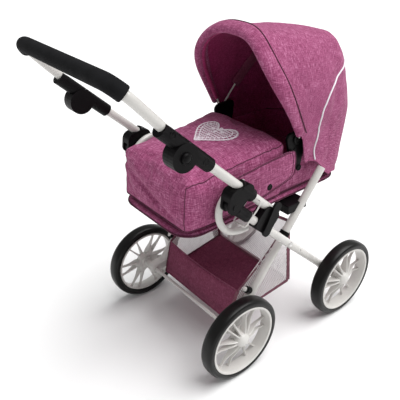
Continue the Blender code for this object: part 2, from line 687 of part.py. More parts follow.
# ---- carrycot -----------------------------------------------------------------------------
def tub(name, half_w, y_range, z_range, wall, corner, look):
    """Open box with round corners."""
    bm = bmesh.new()
    y0, y1 = y_range
    z0, z1 = z_range
    rings = [rounded_rect(half_w - 0.004, y0 + 0.004, y1 - 0.004, corner, z0),
             rounded_rect(half_w, y0, y1, corner, z0 + 0.006),
             rounded_rect(half_w, y0, y1, corner, z1),
             rounded_rect(half_w - wall, y0 + wall, y1 - wall, corner - wall, z1),
             rounded_rect(half_w - wall, y0 + wall, y1 - wall, corner - wall, z0 + wall)]
    ring_loft(bm, rings)
    return add(name, bm, look)


tub("cot_shell", COT_HALF_W, COT_Y, COT_Z, COT_WALL, 0.040, "plum_fabric")
bm = bmesh.new()
ring_loft(bm, [rounded_rect(0.0950, -0.2190, 0.1660, 0.040, z) for z in (0.2885, 0.2990)])
bevel(add("cot_base", bm, "mauve_fabric", smooth=0), 0.0035, 2)
bm = bmesh.new()
ring_loft(bm, [rounded_rect(0.0850, -0.1965, 0.1655, 0.034, z) for z in (0.3045, 0.3200)])
bevel(add("mattress", bm, "plum_fabric", smooth=0), 0.0035, 2)


def apron_row(y, top, half_w, foot):
    """One cross-section of the cover, from its near foot over the top to the far one."""
    bend = min(0.014, (top - foot) * 0.45)
    out = [Vector((half_w, y, foot)), Vector((half_w, y, (foot + top - bend) / 2)),
           Vector((half_w, y, top - bend))]
    out.append(Vector((half_w - bend * 0.29, y, top - bend * 0.29)))
    out += [Vector((half_w - bend, y, top)), Vector((half_w * APRON_FLAT, y, top + APRON_SIDE_RISE))]
    out.append(Vector((0, y, top + APRON_CROWN)))
    return out + [Vector((-p.x, p.y, p.z)) for p in reversed(out[:-1])]


bm = bmesh.new()
rows = []
for i in range(7):
    u = i / 6
    y = APRON_Y[1] + (APRON_Y[0] + 0.016 - APRON_Y[1]) * u
    top = APRON_TOP_Z[1] + (APRON_TOP_Z[0] - APRON_TOP_Z[1]) * u
    rows.append(apron_row(y, top, APRON_HALF_W, 0.3025))
for drop, back, pinch in ((0.0020, 0.008, 0.001), (0.0080, 0.0135, 0.004), (0.0180, 0.0160, 0.009),
                          (0.0450, 0.0163, 0.012), (0.0790, 0.0160, 0.013)):
    rows.append(apron_row(APRON_Y[0] + 0.016 - back, APRON_TOP_Z[0] - drop, APRON_HALF_W - pinch, 0.3025))
grid(bm, rows)
solidify(add("apron", bm, "mauve_fabric"), 0.0025, -1)

def apron_top(x, y):
    """Height of the cover's crowned, sloping top."""
    run = APRON_Y[1] - APRON_Y[0] - 0.016
    ridge = APRON_TOP_Z[1] + (APRON_TOP_Z[0] - APRON_TOP_Z[1]) * (APRON_Y[1] - y) / run + APRON_CROWN
    return ridge - (APRON_CROWN - APRON_SIDE_RISE) * abs(x) / (APRON_HALF_W * APRON_FLAT)


def heart_half(side):
    """Outline of half the heart, from its cleft to its tip, the tip towards the handle."""
    out = []
    for i in range(15):
        k = math.pi * i / 14
        x = side * HEART_W * math.sin(k) ** 3
        y = HEART_L * (13 * math.cos(k) - 5 * math.cos(2 * k) - 2 * math.cos(3 * k) - math.cos(4 * k)) / 16
        out.append((x, y))
    return out


# Heart patch, one flat half on each side of the cover's ridge
bm = bmesh.new()
near, far = heart_half(1), heart_half(-1)
sheets = []
for lift in (0.0005, 0.0013):
    sheets.append([[bm.verts.new((x, HEART_Y + y, apron_top(x, HEART_Y + y) + lift)) for x, y in half]
                   for half in (near, far)])
    bm.faces.new(sheets[-1][0])
    bm.faces.new(sheets[-1][1])
for low, high in zip(sheets[0], sheets[1]):
    for i in range(len(low) - 1):
        bm.faces.new((low[i], low[i + 1], high[i + 1], high[i]))
add("heart_patch", bm, "white_fabric", smooth=0)

FLAP = [(-0.112, 0.3800), (-0.138, 0.3700), (-0.157, 0.3530), (-0.163, 0.3320), (-0.160, 0.3120), (-0.100, 0.3140),
        (-0.053, 0.3190), (0.000, 0.3300), (0.026, 0.3380), (0.028, 0.3700), (0.022, 0.3915)]
for mark, sign in SIDES:
    x0, x1 = sorted((sign * FLAP_X[0], sign * FLAP_X[1]))
    bevel(add("cot_flap_" + mark, prism(bmesh.new(), FLAP, x0, x1), "mauve_fabric", smooth=0), 0.0010)

# ---- hood ---------------------------------------------------------------------------------
HOOD_PIVOT = Vector((0, HOOD_Y, HOOD_Z))


def hood_shell(name, outer, thick, tilt_from, tilt_to, steps, look):
    """Fan of arches about the hood's pivot line."""
    bm = bmesh.new()
    rows = []
    for i in range(steps + 1):
        tilt = math.radians(tilt_from + (tilt_to - tilt_from) * i / steps)
        rows.append([hood_point(outer, outer + HOOD_RISE, math.radians(4 + 172 * k / 16), tilt)
                     for k in range(17)])
    grid(bm, rows)
    return solidify(add(name, bm, look, HOOD_PIVOT), thick, -1)


hood_shell("hood_front", 0.1152, 0.0018, 12, -22, 4, "mauve_fabric")
hood_shell("hood_rear", 0.1120, 0.0018, -4, -118, 11, "mauve_fabric")
# Padded rim in front of the moving shell
bm = bmesh.new()
rings = []
for k in range(21):
    theta = math.radians(5 + 170 * k / 20)
    ring = []
    for reach, lean in ((0.1136, 0.0), (0.1136, 9.0), (0.1155, 10.5), (0.1190, 10.0), (0.1208, 6.5), (0.1208, 3.5),
                        (0.1180, 0.5)):
        ring.append(hood_point(reach, reach + HOOD_RISE, theta, math.radians(12.6 + lean)))
    rings.append(ring)
ring_loft(bm, rings)
add("hood_rim", bm, "mauve_fabric", HOOD_PIVOT)


def bow(name, half_w, tilt, look):
    path = [hood_point(half_w, half_w + HOOD_RISE, math.radians(6 + 168 * k / 20), math.radians(tilt))
            for k in range(21)]
    return add(name, rod(bmesh.new(), path, 0.0017, segments=8), look, HOOD_PIVOT)


bow("hood_bow_front", 0.1066, 13.5, "white_plastic")
bow("hood_bow_middle", 0.1028, -40.0, "white_plastic")
for mark, sign in SIDES:
    plate = [(0.014, 0.372), (0.050, 0.372), (0.052, 0.400), (0.042, 0.419), (0.022, 0.420), (0.010, 0.402)]
    ob = add("hood_pivot_" + mark, prism(bmesh.new(), plate, *sorted((sign * 0.0925, sign * 0.0975))),
             "black_plastic", smooth=0)
    boolean(ob, disc(bmesh.new(), HOOD_PIVOT, 0.0085, *sorted((sign * 0.0970, sign * 0.1005)), 18), "UNION")
    bevel(ob, 0.0008)
# ---- centre the object on its own origin --------------------------------------------------
for ob in bpy.context.scene.objects:
    if ob.parent is None:
        ob.location.y += ORIGIN_Y
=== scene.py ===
"""Looks of the doll stroller: every visible piece, its material, the lights and the camera.

The side layout is drawn as in the CAD: y = 0 midway between the axles, moved by BASE_Y when a
mesh is made. The front legs and the handle lie along one slanted line: s is measured up that
line from the hood-side axle and t square to it, upwards.
"""

import json
import math

import bpy
import numpy as np
from mathutils import Matrix, Vector, noise
from mathutils.bvhtree import BVHTree


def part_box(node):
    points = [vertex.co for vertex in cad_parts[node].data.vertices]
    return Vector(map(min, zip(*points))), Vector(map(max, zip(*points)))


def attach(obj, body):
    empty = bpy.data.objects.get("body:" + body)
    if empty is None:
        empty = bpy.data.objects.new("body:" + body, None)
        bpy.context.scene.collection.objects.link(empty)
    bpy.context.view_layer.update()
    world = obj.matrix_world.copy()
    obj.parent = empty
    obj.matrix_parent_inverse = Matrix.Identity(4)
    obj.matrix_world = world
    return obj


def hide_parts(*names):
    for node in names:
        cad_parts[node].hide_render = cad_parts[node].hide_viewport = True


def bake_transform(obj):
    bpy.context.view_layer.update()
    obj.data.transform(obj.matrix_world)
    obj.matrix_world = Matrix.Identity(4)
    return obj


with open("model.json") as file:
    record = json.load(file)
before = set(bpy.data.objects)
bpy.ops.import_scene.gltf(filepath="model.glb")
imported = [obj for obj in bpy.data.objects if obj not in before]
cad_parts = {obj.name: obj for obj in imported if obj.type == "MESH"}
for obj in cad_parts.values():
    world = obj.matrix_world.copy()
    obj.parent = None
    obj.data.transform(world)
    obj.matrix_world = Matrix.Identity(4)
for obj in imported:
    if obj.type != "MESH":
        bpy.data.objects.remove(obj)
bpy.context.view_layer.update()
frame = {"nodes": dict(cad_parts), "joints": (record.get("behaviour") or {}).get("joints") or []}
SIDES = (("R", 1), ("L", -1))

# ---- layout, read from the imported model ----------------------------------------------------
JOINTS = {j["name"]: j for j in frame["joints"]}


def box_middle(node):
    low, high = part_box(node)
    return (low + high) / 2


BASE_Y = (box_middle("tyre_rear_R").y + box_middle("tyre_front_R").y) / 2


def joint_point(name):
    """A joint's place, with y measured from the wheelbase centre."""
    x, y, z = JOINTS[name]["pos_m"]
    return Vector((x, y - BASE_Y, z))


REAR_HUB = box_middle("tyre_rear_R") - Vector((0, BASE_Y, 0))
FRONT_HUB = box_middle("tyre_front_R") - Vector((0, BASE_Y, 0))
WHEEL_R = REAR_HUB.z
CROSS = joint_point("frame_fold")
TILT = joint_point("handle_tilt")
HOOD = joint_point("hood_fold")
LEG_ANGLE = math.radians(42.6)
REAR_LEG_ANGLE = math.radians(51.5)
TUBE_R = 0.0075
AXLE_R = 0.0035
FRONT_LEG_X = 0.1335
HANDLE_X = 0.1420
REAR_LEG_X = 0.1172
HANDLE_T = 0.0314
TILT_S = 0.5590
BAR_S = 0.7000
BAR_RISE = 0.0798
BEND_R = 0.0340


def leg_point(s, t, x):
    """Point at s along the front leg's line, t above it."""
    y = FRONT_HUB.y - s * math.cos(LEG_ANGLE) + t * math.sin(LEG_ANGLE)
    z = FRONT_HUB.z + s * math.sin(LEG_ANGLE) + t * math.cos(LEG_ANGLE)
    return Vector((x, y, z))


def rear_point(d, n, x):
    """Point d up the rear leg from the crossing, n square to it, towards the hood."""
    y = CROSS.y + d * math.cos(REAR_LEG_ANGLE) + n * math.sin(REAR_LEG_ANGLE)
    z = CROSS.z + d * math.sin(REAR_LEG_ANGLE) - n * math.cos(REAR_LEG_ANGLE)
    return Vector((x, y, z))


def ease(u):
    """Smooth step from 0 to 1."""
    u = min(max(u, 0.0), 1.0)
    return u * u * (3 - 2 * u)


def mix(a, b, u):
    return a + (b - a) * u


def circle(count, start=0.0):
    """Angles evenly round a full turn."""
    return [start + 2 * math.pi * i / count for i in range(count)]


# ---- material nodes ------------------------------------------------------------------------
STREAK_REACH = 0.13 / 0.95  # how far the thread noise strays from 0.5 before the colour saturates
NET_SLANT = math.radians(38)


class Nodes:
    """Short way to write one material's node tree."""

    def __init__(self, name):
        self.material = bpy.data.materials.new(name)
        self.material.use_nodes = True
        self.tree = self.material.node_tree
        self.bsdf = self.tree.nodes["Principled BSDF"]

    def new(self, kind, inputs=None, **settings):
        node = self.tree.nodes.new(kind)
        for key, value in settings.items():
            setattr(node, key, value)
        for key, value in (inputs or {}).items():
            self.put(node.inputs[key], value)
        return node

    def put(self, socket, value):
        if isinstance(value, bpy.types.NodeSocket):
            self.tree.links.new(value, socket)
        else:
            socket.default_value = value

    def set(self, **inputs):
        for key, value in inputs.items():
            self.put(self.bsdf.inputs[key.replace("_", " ")], value)

    def coords(self, kind="Object", scale=(1, 1, 1), turn=(0, 0, 0)):
        source = self.new("ShaderNodeTexCoord").outputs[kind]
        mapping = self.new("ShaderNodeMapping", {"Vector": source, "Scale": scale, "Rotation": turn})
        return mapping.outputs["Vector"]

    def noise(self, vector, scale=1.0, detail=2.0, rough=0.5):
        inputs = {"Vector": vector, "Scale": scale, "Detail": detail, "Roughness": rough}
        return self.new("ShaderNodeTexNoise", inputs).outputs["Fac"]

    def math(self, operation, a, b=0.0):
        return self.new("ShaderNodeMath", {0: a, 1: b}, operation=operation).outputs[0]

    def ramp(self, fac, stops):
        node = self.new("ShaderNodeValToRGB", {"Fac": fac})
        elements = node.color_ramp.elements
        while len(elements) < len(stops):
            elements.new(0.5)
        for element, (place, colour) in zip(elements, stops):
            element.position = place
            element.color = (*colour, 1)
        return node.outputs["Color"]

    def spread(self, fac, low, high, to_low=0.0, to_high=1.0):
        inputs = {"Value": fac, "From Min": low, "From Max": high, "To Min": to_low, "To Max": to_high}
        return self.new("ShaderNodeMapRange", inputs).outputs["Result"]

    def bump(self, height, strength, distance):
        inputs = {"Height": height, "Strength": strength, "Distance": distance}
        return self.new("ShaderNodeBump", inputs).outputs["Normal"]


def srgb(r, g, b):
    """Linear colour from 8-bit screen values."""
    out = []
    for value in (r, g, b):
        c = value / 255
        out.append(c / 12.92 if c <= 0.04045 else ((c + 0.055) / 1.055) ** 2.4)
    return tuple(out)


def moulded(name, colour, rough, grain, coat=0.0, wear=0.06, specular=0.5, metallic=0.0):
    """Painted metal or moulded plastic: faint mottling, fine grain, uneven gloss."""
    n = Nodes(name)
    cloud = n.noise(n.coords(), 35, 3)
    dust = n.noise(n.coords(), 900, 2)
    low = tuple(c * (1 - wear) for c in colour)
    high = tuple(min(1, c * (1 + wear * 0.6)) for c in colour)
    n.set(Base_Color=n.ramp(cloud, ((0.3, low), (0.7, high))))
    n.set(Roughness=n.spread(n.noise(n.coords(), 60, 4), 0.3, 0.7, rough - 0.06, rough + 0.06))
    n.set(Normal=n.bump(dust, grain, 0.0002))
    n.set(Coat_Weight=coat, Coat_Roughness=0.15, Specular_IOR_Level=specular, Metallic=metallic)
    return n.material


def cloth(name, dark, middle, light, thread, slub, kind="Object", bump=0.35, sheen=0.05):
    """Woven cloth with slubs: threads of width thread and length slub along each axis."""
    n = Nodes(name)
    across, along = 1 / thread, 1 / slub
    axes = ((across, along, along), (along, across, along), (along, along, across))
    if kind == "UV":
        axes = axes[:2]
    facing = n.new("ShaderNodeSeparateXYZ", {"Vector": n.new("ShaderNodeTexCoord").outputs["Normal"]})
    total, fine = None, None
    for i, axis in enumerate(axes):
        streak = n.noise(n.coords(kind, axis), 1.0, 2.0, 0.6)
        hair = n.noise(n.coords(kind, tuple(2.6 * a for a in axis), (0.0, 0.0, 0.02 * i)), 1.0, 1.0)
        if kind == "UV":
            share = (0.34, 0.66)[i]
        else:
            # threads that cross the surface would show as blotches, so they fade out
            square = n.math("POWER", n.math("ABSOLUTE", facing.outputs[i]), 2.0)
            share = n.math("MULTIPLY", n.math("SUBTRACT", 1.0, square), 0.5)
        streak, hair = n.math("MULTIPLY", streak, share), n.math("MULTIPLY", hair, share)
        total = streak if total is None else n.math("ADD", total, streak)
        fine = hair if fine is None else n.math("ADD", fine, hair)
    cloud = n.noise(n.coords(kind), 28, 2)
    value = n.math("ADD", n.math("MULTIPLY", total, 0.70), n.math("MULTIPLY", fine, 0.22))
    value = n.math("ADD", value, n.math("MULTIPLY", cloud, 0.08))
    value = n.spread(value, 0.5 - STREAK_REACH, 0.5 + STREAK_REACH)
    n.set(Base_Color=n.ramp(value, ((0.0, dark), (0.5, middle), (1.0, light))))
    n.set(Roughness=n.spread(fine, 0.3, 0.7, 0.78, 0.95))
    pits = n.math("ADD", n.math("MULTIPLY", total, 0.5), fine)
    n.set(Normal=n.bump(pits, bump, 0.0006))
    n.set(Sheen_Weight=sheen, Sheen_Roughness=0.5, Specular_IOR_Level=0.2)
    return n.material


def net_material(name, colour, pitch, share):
    """Netting of diagonal threads, pitch apart in UV metres; each takes that share of the pitch."""
    n = Nodes(name)
    holes = None
    for turn in (NET_SLANT, -NET_SLANT):
        vector = n.coords("UV", (1 / pitch, 1 / pitch, 1), (0, 0, turn))
        x = n.new("ShaderNodeSeparateXYZ", {"Vector": vector}).outputs["X"]
        wave = n.math("ABSOLUTE", n.math("SUBTRACT", n.math("FRACT", x), 0.5))
        thread = n.math("LESS_THAN", wave, share / 2)
        holes = thread if holes is None else n.math("MAXIMUM", holes, thread)
    shade = n.noise(n.coords(), 120, 2)
    n.set(Base_Color=n.ramp(shade, ((0.3, tuple(c * 0.85 for c in colour)), (0.7, colour))))
    n.set(Alpha=holes, Roughness=n.spread(shade, 0.3, 0.7, 0.6, 0.8))
    return n.material


WHITE_PAINT = moulded("white_paint", (0.56, 0.545, 0.52), 0.26, 0.05, coat=0.35, wear=0.03)
WHITE_PLASTIC = moulded("white_plastic", (0.60, 0.585, 0.56), 0.38, 0.10, wear=0.04)
BLACK_PLASTIC = moulded("black_plastic", (0.0035, 0.0030, 0.0034), 0.40, 0.35, wear=0.25, specular=0.09)
RUBBER = moulded("tyre_rubber", (0.0045, 0.0043, 0.0040), 0.34, 0.30, wear=0.25, specular=0.22)
FOAM = moulded("grip_foam", (0.0095, 0.0095, 0.0105), 0.85, 1.00, wear=0.30, specular=0.09)
STEEL = moulded("zinc_steel", (0.62, 0.61, 0.60), 0.30, 0.15, wear=0.10, metallic=1.0)
# Near-black for the tube slots: painted shade inside the recesses
SLOT_SHADE = moulded("slot_painted_shade", (0.004, 0.004, 0.004), 0.80, 0.10, specular=0.09)

MAUVES = srgb(102, 38, 70), srgb(145, 68, 106), srgb(194, 126, 162)
MAUVE = cloth("mauve_melange", *MAUVES, 0.0013, 0.011)
MAUVE_UV = cloth("mauve_melange_hood", *MAUVES, 0.0013, 0.011, kind="UV")
PLUM = cloth("plum_canvas", srgb(88, 34, 54), srgb(120, 53, 80), srgb(150, 82, 108), 0.0011, 0.006, sheen=0.1)
PIPING = cloth("plum_piping", srgb(48, 16, 32), srgb(72, 28, 48), srgb(100, 46, 70), 0.0009, 0.004, sheen=0.1)
LINING = cloth("fuchsia_lining", srgb(96, 18, 54), srgb(138, 34, 84), srgb(174, 66, 118), 0.0012, 0.006,
               sheen=0.1)
BINDING = cloth("binding_tape", srgb(84, 46, 58), srgb(112, 66, 80), srgb(142, 96, 108), 0.0011, 0.005,
                sheen=0.1)
REFLECTIVE = cloth("reflective_piping", (0.62, 0.60, 0.64), (0.76, 0.74, 0.78), (0.86, 0.85, 0.88),
                   0.0008, 0.003, bump=0.15, sheen=0.0)
LACE = cloth("cotton_lace", (0.60, 0.50, 0.56), (0.78, 0.70, 0.76), (0.90, 0.86, 0.89), 0.0007, 0.002,
             bump=0.5)
# Dark mauve for seam and hem lines on the cover and wings: painted shade along the seams
SEAM_SHADE = cloth("seam_painted_shade", srgb(56, 20, 38), srgb(84, 34, 58), srgb(112, 54, 82), 0.0009, 0.004, sheen=0.1)
NET = net_material("white_netting", (0.86, 0.82, 0.83), pitch=0.0030, share=0.44)


# ---- mesh building -------------------------------------------------------------------------
class Shape:
    """Vertices and faces of one piece, drawn with y from the wheelbase centre."""

    def __init__(self):
        self.verts = []
        self.faces = []
        self.slots = []
        self.uvs = {}

    def loft(self, rings, caps=(True, True), slot=0):
        """Skin over closed rings of equal length; caps tells which ends are filled."""
        base = len(self.verts)
        count = len(rings[0])
        for ring in rings:
            self.verts.extend(Vector(p) for p in ring)
        for r in range(len(rings) - 1):
            for i in range(count):
                j = (i + 1) % count
                a, b = base + r * count, base + (r + 1) * count
                self.face((a + i, a + j, b + j, b + i), slot)
        if caps[0]:
            self.face(tuple(base + i for i in reversed(range(count))), slot)
        if caps[1]:
            last = base + (len(rings) - 1) * count
            self.face(tuple(last + i for i in range(count)), slot)
        return self

    def face(self, indices, slot=0):
        self.faces.append(indices)
        self.slots.append(slot)

    def tube(self, points, radius, count=20, rounding=0.0, flat=1.0, up=None):
        """Tube along points; rounding softens both ends, flat squeezes it along up."""
        points = [Vector(p) for p in points]
        last = len(points) - 1
        radii = [radius] * (last + 1) if not hasattr(radius, "__len__") else list(radius)
        tangents = [(points[min(i + 1, last)] - points[max(i - 1, 0)]).normalized()
                    for i in range(last + 1)]
        side = Vector(up) if up is not None else tangents[0].orthogonal()

        def ring(centre, tangent, r):
            nonlocal side
            side = (side - tangent * side.dot(tangent)).normalized()
            other = tangent.cross(side)
            turns = circle(count, 0.3)
            return [centre + side * math.cos(k) * r * flat + other * math.sin(k) * r for k in turns]

        stops = [(i, 0.0, radii[i]) for i in range(last + 1)]
        if rounding:
            arcs = [i * math.pi / 8 for i in range(5)]
            start = [(0, rounding * (1 - math.cos(k)), radii[0] - rounding * (1 - math.sin(k)))
                     for k in arcs]
            end = [(last, -rounding * (1 - math.cos(k)), radii[-1] - rounding * (1 - math.sin(k)))
                   for k in reversed(arcs)]
            stops = start + stops[1:-1] + end
        rings = [ring(points[i] + tangents[i] * depth, tangents[i], r) for i, depth, r in stops]
        return self.loft(rings)

    def lathe(self, profile, centre, side=1, count=64, closed=False):
        """Turn (x, r) points about the X axis through centre; side -1 turns the profile round."""
        centre = Vector(centre)
        rings = []
        for x, r in profile:
            r = max(r, 1e-5)
            rings.append([centre + Vector((side * x, r * math.cos(k), r * math.sin(k)))
                          for k in circle(count)])
        if closed:
            rings.append(rings[0])
        return self.loft(rings, caps=(not closed, not closed))

    def pill(self, circles, x0, x1, edge=0.0010, count=48):
        """Rounded slab between x0 and x1 over the outline round circles of (y, z, r)."""
        low, high = min(x0, x1), max(x0, x1)
        arcs = [i * math.pi / 8 for i in range(5)]
        stops = [(low + edge * (1 - math.cos(k)), edge * (1 - math.sin(k))) for k in arcs]
        stops += [(high - edge * (1 - math.cos(k)), edge * (1 - math.sin(k))) for k in reversed(arcs)]
        chosen = []
        for k in circle(count):
            d = (math.cos(k), math.sin(k))
            chosen.append((d, max(circles, key=lambda c, d=d: c[0] * d[0] + c[1] * d[1] + c[2])))
        rings = []
        for x, inset in stops:
            rings.append([Vector((x, c[0] + d[0] * (c[2] - inset), c[1] + d[1] * (c[2] - inset)))
                          for d, c in chosen])
        return self.loft(rings)

    def grid(self, rows, uv):
        """Open sheet through rows of points, uv giving a matching (u, v) for each."""
        base = len(self.verts)
        width = len(rows[0])
        for r, row in enumerate(rows):
            for i, p in enumerate(row):
                self.uvs[len(self.verts)] = uv[r][i]
                self.verts.append(Vector(p))
        for r in range(len(rows) - 1):
            for i in range(width - 1):
                a = base + r * width + i
                self.face((a, a + 1, a + width + 1, a + width))
        return self

    def make(self, name, materials, body=None, finish=None, replaces=(), smooth=35):
        """The finished object, riding on body."""
        mesh = bpy.data.meshes.new(name)
        mesh.from_pydata([(v.x, v.y + BASE_Y, v.z) for v in self.verts], [], self.faces)
        for material in materials if isinstance(materials, (list, tuple)) else [materials]:
            mesh.materials.append(material)
        mesh.polygons.foreach_set("material_index", self.slots)
        if self.uvs:
            layer = mesh.uv_layers.new(name="cloth")
            for loop in mesh.loops:
                layer.data[loop.index].uv = self.uvs.get(loop.vertex_index, (0, 0))
        mesh.validate()
        mesh.update()
        mesh.shade_smooth()
        if smooth:
            mesh.set_sharp_from_angle(angle=math.radians(smooth))
        ob = bpy.data.objects.new(name, mesh)
        bpy.context.scene.collection.objects.link(ob)
        return settle(ob, body, replaces)


def settle(ob, body, replaces):
    """Body and CAD nodes of a finished piece."""
    if body:
        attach(ob, body)
    if replaces:
        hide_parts(*replaces)
    return ob


def subdivide(ob):
    mod = ob.modifiers.new("Subdivision", "SUBSURF")
    mod.levels = 1
    mod.render_levels = 1


def thicken(ob, thickness, offset=-1, inner_slot=0):
    """Give a sheet thickness; offset -1 puts it all on the inner side, 0 half on each."""
    mod = ob.modifiers.new("Solidify", "SOLIDIFY")
    mod.thickness = thickness
    mod.offset = offset
    mod.material_offset = inner_slot


def smooth_path(points, steps=6):
    """Catmull-Rom points through the given ones."""
    pts = [Vector(p) for p in points]
    pts = [2 * pts[0] - pts[1]] + pts + [2 * pts[-1] - pts[-2]]
    out = []
    for i in range(1, len(pts) - 2):
        p0, p1, p2, p3 = pts[i - 1:i + 3]
        for k in range(steps):
            u = k / steps
            out.append(0.5 * (2 * p1 + (p2 - p0) * u + (2 * p0 - 5 * p1 + 4 * p2 - p3) * u ** 2
                              + (3 * p1 - p0 - 3 * p2 + p3) * u ** 3))
    out.append(pts[-2])
    return out


def dress(node, material, edge=0.0005):
    """A CAD node whose shape is right: softened edges and a better material."""
    ob = frame["nodes"][node]
    ob.data.materials.clear()
    ob.data.materials.append(material)
    ob.data.polygons.foreach_set("material_index", [0] * len(ob.data.polygons))
    ob.modifiers.new("Weld", "WELD").merge_threshold = 0.00002
    mod = ob.modifiers.new("Bevel", "BEVEL")
    mod.width = edge
    mod.segments = 3
    mod.limit_method = "ANGLE"
    mod.angle_limit = math.radians(38)
    mod.harden_normals = True


def both(build):
    """Run build(tag, side sign) for the R and L sides."""
    for mark, sign in SIDES:
        build(mark, sign)


# ---- wheels --------------------------------------------------------------------------------
# Tyre section from the rim's edge to the tread's middle: x across the wheel, then radius
TYRE_HALF = [(-0.0093, 0.0684), (-0.0108, 0.0686), (-0.0122, 0.0698), (-0.0129, 0.0712),
             (-0.0129, 0.0717), (-0.0134, 0.0724), (-0.0135, 0.0745), (-0.0134, 0.0766),
             (-0.0130, 0.0778), (-0.0125, 0.0782), (-0.0121, 0.0790), (-0.0108, 0.0806),
             (-0.0086, 0.0817), (-0.0055, 0.0823), (-0.0020, 0.0825)]
SPOKE_PAIRS = 6
SPOKE_TURN = math.radians(10)


def tyre(tag, centre, side):
    profile = TYRE_HALF + [(-x, r) for x, r in reversed(TYRE_HALF)]
    turn = Shape().lathe(profile, centre, side, 144, closed=True)
    turn.make("wheel_tyre_" + tag, RUBBER, "wheel_" + tag, "tyre", ["tyre_" + tag], smooth=24)


def spoke_rings(centre, side, base, lean):
    """One straight rib of a twin spoke; the twins start together and reach the rim apart."""
    root_r, foot_r, root_away = 0.0120, 0.0656, 0.0022
    foot_away = foot_r * math.sin(SPOKE_TURN)
    foot_along = foot_r * math.cos(SPOKE_TURN)
    rings = []
    for i in range(13):
        u = i / 12
        along = mix(root_r, foot_along, u)
        away = lean * mix(root_away, foot_away, u)
        front = mix(0.0100, -0.0015, ease(u * 1.3))
        back = mix(-0.0074, -0.0064, u)
        half = mix(0.0017, 0.0014, u) + 0.0014 * ease((u - 0.88) / 0.12)
        middle, reach = (front + back) / 2, (front - back) / 2
        ring = []
        for dx, dw in ((1, 0.35), (0.86, 0.85), (0.3, 1), (-0.6, 1.1), (-1, 0.9),
                       (-1, -0.9), (-0.6, -1.1), (0.3, -1), (0.86, -0.85), (1, -0.35)):
            q = away + dw * half
            ring.append(centre + Vector((side * (middle + dx * reach),
                                         along * math.cos(base) - q * math.sin(base),
                                         along * math.sin(base) + q * math.cos(base))))
        rings.append(ring)
    return rings


def rim(tag, centre, side):
    shape = Shape()
    barrel = [(-0.0105, 0.0641), (-0.0110, 0.0646), (-0.0110, 0.0674), (-0.0104, 0.0680), (0.0100, 0.0680),
              (0.0112, 0.0688), (0.0118, 0.0696), (0.0126, 0.0698), (0.0132, 0.0692), (0.0132, 0.0672),
              (0.0128, 0.0660), (0.0120, 0.0653), (0.0060, 0.0648), (-0.0020, 0.0644), (-0.0085, 0.0642)]
    shape.lathe(barrel, centre, side, 128, closed=True)
    for n in range(SPOKE_PAIRS):
        for lean in (-1, 1):
            shape.loft(spoke_rings(centre, side, 2 * math.pi * n / SPOKE_PAIRS, lean))
    # Scalloped web joining the roots of each pair
    web = []
    for x, inset in ((-0.0076, 0.0006), (-0.0070, 0), (-0.0048, 0), (-0.0042, 0.0006)):
        ring = []
        for k in circle(96):
            r = 0.0232 + 0.0045 * math.cos(SPOKE_PAIRS * k) - inset
            ring.append(centre + Vector((side * x, r * math.cos(k), r * math.sin(k))))
        web.append(ring)
    shape.loft(web)
    hub = [(-0.0120, 0.0), (-0.0120, 0.0060), (-0.0112, 0.0064), (-0.0112, 0.0108), (-0.0104, 0.0118),
           (-0.0078, 0.0126), (-0.0042, 0.0178), (-0.0020, 0.0162), (0.0020, 0.0152), (0.0070, 0.0143),
           (0.0104, 0.0132), (0.0128, 0.0116), (0.0147, 0.0094), (0.0161, 0.0066), (0.0169, 0.0036),
           (0.0172, 0.0)]
    shape.lathe(hub, centre, side, 64)
    shape.make("wheel_rim_" + tag, WHITE_PLASTIC, "wheel_" + tag, "white_plastic", ["rim_" + tag], smooth=32)


for end, hub_point in (("rear", REAR_HUB), ("front", FRONT_HUB)):
    for mark, sign in SIDES:
        middle = Vector((sign * hub_point.x, hub_point.y, hub_point.z))
        tyre(f"{end}_{mark}", middle, sign)
        rim(f"{end}_{mark}", middle, sign)
    reach = hub_point.x - 0.0125
    rod = Shape().tube([(-reach, hub_point.y, WHEEL_R), (reach, hub_point.y, WHEEL_R)],
                       AXLE_R, 24, 0.0006)
    rod.make(end + "_axle_rod", WHITE_PAINT, end + "_frame", "white_paint", [end + "_axle"])


# ---- legs ----------------------------------------------------------------------------------
def front_leg_x(s):
    """The leg bows outwards above the crossing to line up with the handle."""
    return mix(FRONT_LEG_X, HANDLE_X, ease((s - 0.225) / 0.070))


def rivet(shape, centre, outward, radius, height):
    """Low domed head standing on a surface."""
    outward = Vector(outward).normalized()
    side = outward.orthogonal().normalized()
    other = outward.cross(side)
    rings = []
    for d, r in ((-0.3, 1.0), (0.15, 1.0), (0.5, 0.9), (0.8, 0.65), (0.95, 0.35), (1.0, 0.02)):
        centre_d = Vector(centre) + outward * height * d
        rings.append([centre_d + (side * math.cos(k) + other * math.sin(k)) * radius * r
                      for k in circle(18)])
    shape.loft(rings)


